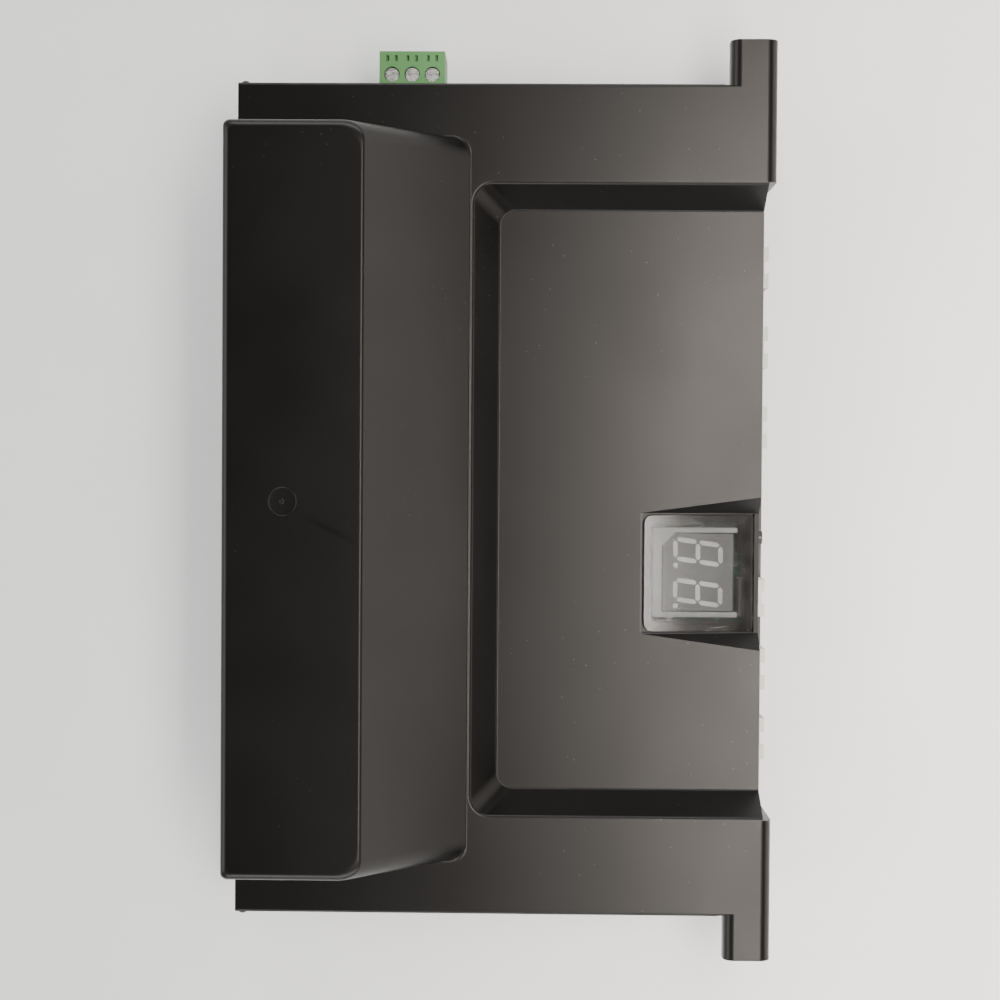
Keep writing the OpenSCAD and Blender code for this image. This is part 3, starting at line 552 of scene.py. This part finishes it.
class Finish:
    """A node material that starts from a Principled BSDF and object coordinates."""

    def __init__(self, name, rough, metal=0.0, specular=0.5):
        self.material = bpy.data.materials.new(name)
        self.material.use_nodes = True
        self.tree = self.material.node_tree
        self.shader = self.tree.nodes["Principled BSDF"]
        self.place = self.node("ShaderNodeTexCoord").outputs["Object"]
        self.set("Roughness", rough)
        self.set("Metallic", metal)
        self.set("Specular IOR Level", specular)

    def node(self, kind, **settings):
        made = self.tree.nodes.new(kind)
        for key, value in settings.items():
            setattr(made, key, value)
        return made

    def link(self, source, target):
        self.tree.links.new(source, target)

    def set(self, socket, value):
        if hasattr(value, "is_linked"):
            self.link(value, self.shader.inputs[socket])
        else:
            self.shader.inputs[socket].default_value = value

    def stretched(self, scale, turn=0.0):
        """Object coordinates in mm, scaled along each axis and turned about Z."""
        made = self.node("ShaderNodeMapping")
        self.link(self.place, made.inputs["Vector"])
        made.inputs["Scale"].default_value = [v / MM for v in scale]
        made.inputs["Rotation"].default_value = (0, 0, math.radians(turn))
        return made.outputs["Vector"]

    def noise(self, per_mm, detail=2.0, vector=None):
        made = self.node("ShaderNodeTexNoise")
        self.link(vector or self.stretched((per_mm, per_mm, per_mm)), made.inputs["Vector"])
        made.inputs["Scale"].default_value = 1
        made.inputs["Detail"].default_value = detail
        return made.outputs["Fac"]

    def cells(self, per_mm, feature="F1", vector=None):
        made = self.node("ShaderNodeTexVoronoi", feature=feature)
        self.link(vector or self.stretched((per_mm, per_mm, per_mm)), made.inputs["Vector"])
        made.inputs["Scale"].default_value = 1
        return made.outputs["Distance"]

    def span(self, value, low, high, to_low=0.0, to_high=1.0):
        """Maps low..high to to_low..to_high, held at the ends."""
        made = self.node("ShaderNodeMapRange")
        self.link(value, made.inputs["Value"])
        for key, number in (("From Min", low), ("From Max", high), ("To Min", to_low),
                            ("To Max", to_high)):
            made.inputs[key].default_value = number
        return made.outputs["Result"]

    def math(self, kind, a, b):
        made = self.node("ShaderNodeMath", operation=kind)
        for socket, value in zip(made.inputs, (a, b)):
            if hasattr(value, "is_linked"):
                self.link(value, socket)
            else:
                socket.default_value = value
        return made.outputs["Value"]

    def mix(self, share, a, b):
        made = self.node("ShaderNodeMix", data_type="RGBA")
        sockets = (made.inputs["Factor"], made.inputs[MIX_A], made.inputs[MIX_B])
        for socket, value in zip(sockets, (share, a, b)):
            if hasattr(value, "is_linked"):
                self.link(value, socket)
            else:
                socket.default_value = value if isinstance(value, float) else (*value, 1)
        return made.outputs[MIX_RESULT]

    def along(self, vector, angle):
        """How far a vector reaches in a direction in the XY plane."""
        made = self.node("ShaderNodeVectorMath", operation="DOT_PRODUCT")
        self.link(vector, made.inputs[0])
        angle = math.radians(angle)
        made.inputs[1].default_value = (math.cos(angle), math.sin(angle), 0)
        return made.outputs["Value"]

    def bump(self, height, strength, distance_mm):
        made = self.node("ShaderNodeBump")
        made.inputs["Strength"].default_value = strength
        made.inputs["Distance"].default_value = distance_mm * MM
        self.link(height, made.inputs["Height"])
        self.link(made.outputs["Normal"], self.shader.inputs["Normal"])


def moulded(name, color, rough, grain=0.25, grain_size=0.35, dust=0.0, wear=0.15):
    """Moulded plastic: fine matte grain, cloudy colour and gloss, a little dust."""
    f = Finish(name, rough)
    clouds = f.noise(0.05, 3)
    lighter = [min(1, c * (1 + wear)) for c in color]
    darker = [c * (1 - wear) for c in color]
    base = f.mix(f.span(clouds, 0.3, 0.7), darker, lighter)
    if dust:
        specks = f.span(f.cells(0.45), 0.035, 0.06, 1.0, 0.0)
        patchy = f.math("MULTIPLY", specks, f.span(f.noise(0.02), 0.45, 0.65, 0.0, dust))
        base = f.mix(patchy, base, (0.35, 0.34, 0.32))
    f.set("Base Color", base)
    f.set("Roughness", f.span(f.noise(0.3, 4), 0.3, 0.7, rough - 0.04, rough + 0.05))
    f.bump(f.noise(1 / grain_size, 3), grain, 0.03)
    return f


def metal(name, color, rough, brushed=None, tarnish=0.2, bare=1.0):
    """Plated or drawn metal with fine marks along one axis and dull patches."""
    f = Finish(name, rough, metal=bare)
    lines = f.noise(1, 3, f.stretched(brushed or (3, 3, 3)))
    dull = [c * (1 - tarnish) for c in color]
    f.set("Base Color", f.mix(f.span(f.noise(0.6, 4), 0.35, 0.7), dull, color))
    f.set("Roughness", f.span(lines, 0.3, 0.7, rough - 0.06, rough + 0.1))
    f.bump(lines, 0.25, 0.02)
    return f


def case_finish():
    """Black moulded plastic with a streak from the gate, where the plastic flowed."""
    f = moulded("black_case", (0.0024, 0.0022, 0.0020), 0.36,
                grain=0.22, grain_size=0.3, dust=0.25)
    f.set("Specular IOR Level", 0.3)
    f.set("Specular Tint", (1.0, 0.965, 0.935, 1.0))
    offset = f.node("ShaderNodeVectorMath", operation="SUBTRACT")
    f.link(f.place, offset.inputs[0])
    offset.inputs[1].default_value = (GATE_X * MM, 0, HUMP_Z * MM)
    ahead, aside = (f.along(offset.outputs["Vector"], angle)
                    for angle in (STREAK_ANGLE, STREAK_ANGLE + 90))
    wander = f.span(f.noise(0.12, 1), 0.3, 0.7, -STREAK_BEND * MM, STREAK_BEND * MM)
    bend = f.math("ADD", aside, wander)
    ray = f.span(f.math("ABSOLUTE", bend, 0.0), 0.0, STREAK_HALF * MM)
    start = f.span(ahead, STREAK_START[0] * MM, STREAK_START[1] * MM)
    end = f.span(ahead, STREAK_END[0] * MM, STREAK_END[1] * MM, 1.0, 0.0)
    streak = f.math("MULTIPLY", f.math("SUBTRACT", ray, 1.0), f.math("MULTIPLY", start, end))
    cloud = f.span(f.noise(0.04, 4), 0.3, 0.7, 0.33, 0.39)
    f.set("Roughness", f.math("ADD", cloud, f.math("MULTIPLY", streak, STREAK_GLOSS)))
    return f


def window_finish():
    """Smoked acrylic, dusty and finely scratched, clear over the display and with painted shade
    round it: darker and more opaque there.
    """
    f = Finish("smoked_window", 0.11)
    f.set("IOR", 1.62)
    split = f.node("ShaderNodeSeparateXYZ")
    f.link(f.place, split.inputs["Vector"])
    low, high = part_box("display_shroud")
    # painted shade: 0 over the display, rising to 1 just outside its frame, where the pane is
    # darkened for the shade behind it
    painted_shade = 0.0
    for i, axis in enumerate("XY"):
        away = f.math("SUBTRACT", split.outputs[axis], (low[i] + high[i]) / 2)
        half = (high[i] - low[i]) / 2
        edge = f.span(f.math("ABSOLUTE", away, 0.0), half, half + PAINTED_SHADE_FADE * MM)
        painted_shade = f.math("MAXIMUM", painted_shade, edge)
    specks = f.span(f.cells(1.1), 0.05, 0.085, 1.0, 0.0)
    few = f.math("MULTIPLY", specks, f.span(f.noise(0.35), 0.5, 0.62))
    scratch = f.cells(1, "DISTANCE_TO_EDGE", f.stretched((0.06, 0.33, 0.2), 38))
    fine = f.span(scratch, 0.0, 0.008, 0.9, 0.0)
    broken = f.math("MULTIPLY", fine, f.span(f.noise(0.3), 0.56, 0.62))
    marks = f.math("MAXIMUM", few, broken)
    haze = f.span(f.noise(0.3, 5), 0.35, 0.75, 0.0, 0.05)
    # painted shade: a darker film colour and a higher alpha outside the display's frame
    smoke_and_painted_shade = f.mix(painted_shade, (0.03, 0.03, 0.03), (0.012, 0.010, 0.009))
    f.set("Base Color", f.mix(f.math("MAXIMUM", marks, haze), smoke_and_painted_shade, (0.6, 0.6, 0.58)))
    opacity = f.math("ADD", f.span(haze, 0, 0.05, 0.26, 0.34),
                     f.math("MULTIPLY", painted_shade, PAINTED_SHADE_ALPHA))
    f.set("Alpha", f.math("ADD", f.math("MULTIPLY", marks, 0.35), opacity))
    wiped = f.span(f.noise(0.2), 0.3, 0.7, 0.09, 0.13)
    f.set("Roughness", f.math("ADD", f.math("MULTIPLY", marks, 0.3), wiped))
    return f


def board_finish():
    """Green solder mask over copper tracks, with round plated vias."""
    f = Finish("board", 0.3)
    tracks = f.node("ShaderNodeTexBrick")
    f.link(f.stretched((1, 1, 1)), tracks.inputs["Vector"])
    for key, value in (("Scale", 0.22), ("Mortar Size", 0.09), ("Mortar Smooth", 0.1),
                       ("Brick Width", 1.4), ("Row Height", 0.45)):
        tracks.inputs[key].default_value = value
    copper = f.math("MULTIPLY", f.span(tracks.outputs["Fac"], 0.3, 0.7),
                    f.span(f.noise(0.07, 1), 0.47, 0.5))
    mask = f.mix(f.span(f.noise(0.1, 3), 0.3, 0.7), (0.012, 0.085, 0.035), (0.018, 0.115, 0.05))
    over = f.mix(copper, mask, (0.05, 0.22, 0.09))
    holes = f.cells(0.19)
    ring = f.math("MULTIPLY", f.span(holes, 0.13, 0.15, 1.0, 0.0),
                  f.span(f.noise(0.06), 0.5, 0.52))
    drill = f.math("MULTIPLY", f.span(holes, 0.06, 0.07, 1.0, 0.0), ring)
    f.set("Base Color", f.mix(drill, f.mix(ring, over, (0.55, 0.55, 0.5)), (0.01, 0.01, 0.01)))
    f.set("Metallic", ring)
    f.bump(f.math("ADD", copper, ring), 0.4, 0.05)
    return f


def laminated_finish():
    """Stack of dull steel sheets."""
    f = metal("laminated_steel", (0.20, 0.19, 0.18), 0.42, (0.4, 0.4, 0.4), tarnish=0.5)
    wave = f.node("ShaderNodeTexWave", bands_direction="X")
    f.link(f.stretched((1, 1, 1)), wave.inputs["Vector"])
    wave.inputs["Scale"].default_value = 0.6
    wave.inputs["Distortion"].default_value = 0.15
    wave.inputs["Detail"].default_value = 3
    f.bump(wave.outputs["Fac"], 0.6, 0.1)
    return f


def tape_finish():
    """Glossy tape in overlapping turns."""
    f = moulded("coil_tape", (0.62, 0.30, 0.05), 0.24, 0.12, 0.8, wear=0.25)
    wave = f.node("ShaderNodeTexWave", bands_direction="Z", wave_profile="SAW")
    f.link(f.stretched((1, 1, 1)), wave.inputs["Vector"])
    wave.inputs["Scale"].default_value = 0.05
    wave.inputs["Distortion"].default_value = 0.4
    f.bump(wave.outputs["Fac"], 0.5, 0.12)
    f.set("Coat Weight", 0.4)
    return f


def sleeve_finish():
    """Printed sleeve of an electrolytic can, with bare scored metal on top."""
    f = Finish("capacitor_sleeve", 0.28)
    geometry = f.node("ShaderNodeNewGeometry")
    split = f.node("ShaderNodeSeparateXYZ")
    f.link(geometry.outputs["Normal"], split.inputs["Vector"])
    top = f.span(split.outputs["Z"], 0.9, 0.95)
    stripe = f.span(split.outputs["Y"], 0.93, 0.935)
    sleeve = f.mix(f.span(f.noise(0.2, 3), 0.3, 0.7), (0.012, 0.014, 0.028), (0.02, 0.024, 0.045))
    printed = f.mix(stripe, sleeve, (0.32, 0.33, 0.36))
    f.set("Base Color", f.mix(top, printed, (0.62, 0.62, 0.62)))
    f.set("Metallic", top)
    f.bump(f.noise(1.5, 3), 0.12, 0.03)
    return f


def glass_finish():
    """Thin clear glass, a little cloudy."""
    f = Finish("clear_glass", 0.04, specular=0.6)
    f.set("Base Color", f.mix(f.span(f.noise(0.5), 0.3, 0.7), (0.75, 0.8, 0.8), (0.85, 0.9, 0.9)))
    f.set("Alpha", f.span(f.noise(0.8, 3), 0.3, 0.7, 0.18, 0.26))
    f.bump(f.noise(0.4), 0.05, 0.05)
    return f


def chip_finish():
    """Dull moulding compound of chips."""
    f = moulded("chip_black", (0.018, 0.018, 0.019), 0.48, 0.35, 0.2)
    f.set("Specular IOR Level", 0.4)
    return f


FINISHES = {
    "black_case": case_finish(),
    "black_base": moulded("black_base", (0.006, 0.0057, 0.0055), 0.46, 0.3, 0.35, dust=0.3),
    "smoked_window": window_finish(),
    "off_white_plastic": moulded("off_white_plastic", (0.54, 0.55, 0.53), 0.4, 0.1, 0.5),
    "board": board_finish(),
    "zinc_screw": metal("zinc_screw", (0.80, 0.80, 0.81), 0.42, (2, 2, 6)),
    "display_grey": moulded("display_grey", (0.19, 0.187, 0.18), 0.42, 0.15, 0.25),
    "segment_resin": moulded("segment_resin", (0.90, 0.91, 0.89), 0.35, 0.1, 0.3),
    "tinned_metal": metal("tinned_metal", (0.72, 0.71, 0.67), 0.3, (2, 2, 2)),
    "green_plastic": moulded("green_plastic", (0.086, 0.245, 0.075), 0.45, 0.12, 0.4,
                             wear=0.08),
    "white_nylon": moulded("white_nylon", (0.62, 0.63, 0.58), 0.45, 0.15, 0.6, wear=0.06),
    "black_plastic": moulded("black_plastic", (0.02, 0.02, 0.021), 0.4, 0.2, 0.3),
    "laminated_steel": laminated_finish(),
    "bobbin_plastic": moulded("bobbin_plastic", (0.55, 0.47, 0.30), 0.42, 0.15, 0.5),
    "coil_tape": tape_finish(),
    "capacitor_sleeve": sleeve_finish(),
    "chip_black": chip_finish(),
    "aluminium": metal("aluminium", (0.70, 0.71, 0.73), 0.33, (0.3, 0.3, 9)),
    "relay_blue": moulded("relay_blue", (0.02, 0.11, 0.42), 0.3, 0.1, 0.6),
    "clear_glass": glass_finish(),
    "nickel": metal("nickel", (0.84, 0.83, 0.81), 0.26, (1, 4, 1), tarnish=0.15, bare=0.78),
    "opto_white": moulded("opto_white", (0.68, 0.68, 0.64), 0.45, 0.12, 0.4),
    "ceramic": moulded("ceramic", (0.30, 0.20, 0.12), 0.38, 0.2, 0.2, wear=0.4),
}
for part in frame["record"]["subparts"]:
    for holder in frame["nodes"][part["node"]].material_slots:
        holder.material = FINISHES[part["material_slot"]].material

SOFT_ANGLE = 40
NODE_WELD = 1e-6        # in metres, as modifiers take it


def soften(width, *names):
    """Rounds the edges of CAD nodes as they are shown, with modifiers alone."""
    for name in names:
        node = frame["nodes"][name]
        weld = node.modifiers.new("weld", "WELD")
        weld.merge_threshold = NODE_WELD
        bevel = node.modifiers.new("bevel", "BEVEL")
        bevel.width = width * MM
        bevel.segments = 2
        bevel.limit_method = "ANGLE"
        bevel.angle_limit = math.radians(SOFT_ANGLE)
        node.modifiers.new("weighted", "WEIGHTED_NORMAL")


soften(0.25, "relay_1", "relay_2", "transformer_core", "microcontroller", "logic_chips",
       "optocouplers", "bridge_rectifier", "base_tray")
soften(0.12, "header_1", "header_2", "header_3", "header_4", "header_5", "header_6",
       "side_socket", "transformer_bobbin", "power_transistors", "heatsink")

# ---------------------------------------------------------------- own pieces
bm = cover_mesh()
open_edges = sum(1 for e in bm.edges if len(e.link_faces) != 2)
cover = new_object("cover_shell", bm, "cover_body", "black_case")
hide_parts("cover")

# the pane's corners at its upper and lower end, its place in its rebate and its chamfer
PANE_UPPER_R = 1.7
PANE_LOWER_R = 0.7
PANE_START = 0.8
PANE_SIDE_GAP = 0.12
PANE_EDGE = 0.12
MODULE_CORNER = 0.3
MODULE_EDGE = 0.22


def rounded_outline(low_x, high_x, half_y, r_low, r_high, steps=3):
    """Rectangle in X and Y with one corner radius at its -X side and one at its +X side."""
    out = []
    for x, y, r, start in ((high_x - r_high, half_y - r_high, r_high, 0),
                           (low_x + r_low, half_y - r_low, r_low, 90),
                           (low_x + r_low, r_low - half_y, r_low, 180),
                           (high_x - r_high, r_high - half_y, r_high, 270)):
        for i in range(steps + 1):
            a = math.radians(start + 90 * i / steps)
            out.append((x + r * math.cos(a), y + r * math.sin(a)))
    return out


def slab(soup, outline_at, low, high, edge, place=lambda x, y, z: (x, y, z)):
    """Closed slab whose outline shrinks by a chamfer at its top and bottom edge."""
    levels = [(low, edge), (low + edge, 0), (high - edge, 0), (high - edge * 0.3, edge * 0.3),
              (high, edge)]
    soup.prism([[place(x, y, z) for x, y in outline_at(inset)] for z, inset in levels])


def pane_outline(inset):
    """The pane's outline: distance down its slope, and Y from its middle."""
    return rounded_outline(PANE_START + inset, WINDOW_START + WINDOW_W - inset,
                           WINDOW_L / 2 - PANE_SIDE_GAP - inset, PANE_UPPER_R, PANE_LOWER_R)


soup = Soup()
slab(soup, pane_outline, -WINDOW_T, 0, PANE_EDGE,
     lambda x, y, z: ramp_point(x, WINDOW_Y + y, -z))
window = new_object("window_pane", soup.weld(), "cover_body", "smoked_window")
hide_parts("display_window")

# display module, its segments and the frame round it
led_low, led_high = (Vector(v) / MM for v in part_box("led_body"))
mid_x, mid_y = (led_low.x + led_high.x) / 2, (led_low.y + led_high.y) / 2
half_x, half_y = (led_high.x - led_low.x) / 2, (led_high.y - led_low.y) / 2


def module_outline(inset):
    return [(mid_x + x, mid_y + y) for x, y in rounded_outline(
        inset - half_x, half_x - inset, half_y - inset, MODULE_CORNER, MODULE_CORNER)]


soup = Soup()
slab(soup, module_outline, led_low.z, led_high.z, MODULE_EDGE)
module = new_object("display_module", soup.weld(), "base_body", "display_grey")
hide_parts("led_body")

# the two digits and their points
DIGIT_H = 9.5
DIGIT_W = 4.6
DIGIT_PITCH = 7.8
SEGMENT_W = 0.88
SEGMENT_GAP = 0.2
SEGMENT_SUNK = 0.4
# height over the module, and size, of the rings round a segment's top
SEGMENT_TOP = ((0.03, 1.0), (0.07, 0.86))
DIGIT_SLANT = math.tan(math.radians(8))
DOT_R = 0.5
DOT_ASIDE = 0.85
DOT_PROUD = 0.05


def digit_point(place, x, y, z):
    """A digit's own x runs along -Y and its y along +X, leaning with its height."""
    return (mid_x + y, mid_y + place * DIGIT_PITCH / 2 - (x + y * DIGIT_SLANT), z)


def segment(soup, place, x, y, length, upright):
    """Six-sided bar of a digit, a little proud of the module's face."""
    w, h = SEGMENT_W / 2, length / 2 - SEGMENT_GAP
    shape = [(-h, 0), (w - h, w), (h - w, w), (h, 0), (h - w, -w), (w - h, -w)]
    if upright:
        shape = [(-b, a) for a, b in shape]
    soup.prism([[digit_point(place, x + a * size, y + b * size, led_high.z + rise)
                 for a, b in shape] for rise, size in ((-SEGMENT_SUNK, 1.0), *SEGMENT_TOP)])


soup = Soup()
bar_w, bar_h = DIGIT_W - SEGMENT_W, (DIGIT_H - SEGMENT_W) / 2
for place in (-1, 1):
    for k in (-1, 0, 1):
        segment(soup, place, 0, k * bar_h, bar_w, False)
    for sx in (-1, 1):
        for sy in (-1, 1):
            segment(soup, place, sx * bar_w / 2, sy * bar_h / 2, bar_h, True)
    dot = digit_point(place, DIGIT_W / 2 + DOT_ASIDE, DOT_R - DIGIT_H / 2, 0)
    soup.tube(dot[0], dot[1], led_high.z - SEGMENT_SUNK, led_high.z + DOT_PROUD, DOT_R)
segments = new_object("display_segments", soup.weld(), "base_body", "segment_resin")
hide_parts("led_segments")

# the frame round the module, and the gusset that cuts one of its inner corners
FRAME_GAP = 0.1
GUSSET_L = 2.6
GUSSET_LAP = 0.4
GUSSET_LIFT = 0.03
GUSSET_DROP = 0.02
FRAME_EDGE = 0.15


def upright(outline, z0, z1):
    """The two rings of a prism on an outline in X and Y."""
    return [[(x, y, z) for x, y in outline] for z in (z0, z1)]


frame_low, frame_high = (Vector(v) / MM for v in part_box("display_shroud"))
x0, x1 = frame_low.x, frame_high.x
y0, y1 = frame_low.y, frame_high.y
in_x = mid_x - half_x - FRAME_GAP
in_y0, in_y1 = mid_y - half_y - FRAME_GAP, mid_y + half_y + FRAME_GAP
soup = Soup()
soup.prism(upright([(x0, y0), (x1, y0), (x1, in_y0), (in_x, in_y0),
                    (in_x, in_y1), (x1, in_y1), (x1, y1), (x0, y1)], frame_low.z, frame_high.z))
soup.prism(upright([(in_x - GUSSET_LAP, in_y1 + GUSSET_LAP), (in_x - GUSSET_LAP, in_y1 - GUSSET_L),
                    (in_x, in_y1 - GUSSET_L), (in_x + GUSSET_L, in_y1),
                    (in_x + GUSSET_L, in_y1 + GUSSET_LAP)],
                   led_high.z + GUSSET_LIFT, frame_high.z - GUSSET_DROP))
surround = new_object("display_frame", soup.weld(), "base_body", "off_white_plastic")
edge = surround.modifiers.new("edge", "BEVEL")
edge.width = FRAME_EDGE * MM
edge.segments = 2
edge.limit_method = "ANGLE"
surround.modifiers.move(1, 0)
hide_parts("display_shroud")

# ---------------------------------------------------------------- camera, light and floor
# lens in mm, place in mm and turn in degrees, found from the object's outline
CAMERA_LENS = 66.1
CAMERA_SENSOR = 36
CAMERA_PLACE = (4.642, 7.106, 367.249)
CAMERA_TURN = (-1.1724, 0.9205, 0.3948)
WARM = (1.0, 0.955, 0.91)
SIDE_WARM = (1.0, 0.95, 0.90)
NEUTRAL = (1, 1, 1)
# name, place, the point it shines at, its two sides, watts, colour, spread in degrees
LIGHTS = (
    ("key", (136, -62, 450), (136, -62, 0), (125, 480), 0.93, WARM, 71),
    ("left_fill", (-620, 0, 330), (-300, 0, 0), (900, 420), 4.8, NEUTRAL, 180),
    ("far_fill", (0, 650, 330), (0, 260, 0), (700, 250), 4.0, NEUTRAL, 180),
    ("near_fill", (0, -650, 330), (0, -260, 0), (700, 250), 4.5, NEUTRAL, 180),
    ("right_fill", (720, -20, 130), (0, -20, 60), (1500, 200), 4.3, SIDE_WARM, 180),
)
WORLD_COLOR = (0.96, 0.98, 1.0, 1)
WORLD_STRENGTH = 0.07
FLOOR_HALF = 3          # in metres

camera_data = bpy.data.cameras.new("camera")
camera_data.lens = CAMERA_LENS
camera_data.sensor_width = CAMERA_SENSOR
camera = bpy.data.objects.new("camera", camera_data)
camera.location = Vector(CAMERA_PLACE) * MM
camera.rotation_euler = [math.radians(a) for a in CAMERA_TURN]
bpy.context.scene.collection.objects.link(camera)
bpy.context.scene.camera = camera

for name, place, aim, size, power, color, spread in LIGHTS:
    data = bpy.data.lights.new(name, "AREA")
    data.shape = "RECTANGLE"
    data.size, data.size_y = size[0] * MM, size[1] * MM
    data.energy = power
    data.color = color
    data.spread = math.radians(spread)
    light = bpy.data.objects.new(name, data)
    light.location = Vector(place) * MM
    light.rotation_euler = (Vector(aim) - Vector(place)).to_track_quat("-Z", "Y").to_euler()
    bpy.context.scene.collection.objects.link(light)
world = bpy.data.worlds.new("world")
bpy.context.scene.world = world
world.use_nodes = True
sky = world.node_tree.nodes["Background"]
sky.inputs["Color"].default_value = WORLD_COLOR
sky.inputs["Strength"].default_value = WORLD_STRENGTH

floor_bm = bmesh.new()
bmesh.ops.create_grid(floor_bm, x_segments=1, y_segments=1, size=FLOOR_HALF)
floor_mesh = bpy.data.meshes.new("floor")
floor_bm.to_mesh(floor_mesh)
floor_bm.free()
floor = bpy.data.objects.new("floor", floor_mesh)
bpy.context.scene.collection.objects.link(floor)
floor_finish = moulded("floor", (0.94, 0.94, 0.93), 0.6, 0.05, 2.0, wear=0.01)
floor_mesh.materials.append(floor_finish.material)

print("open edges of cover_shell:", open_edges)
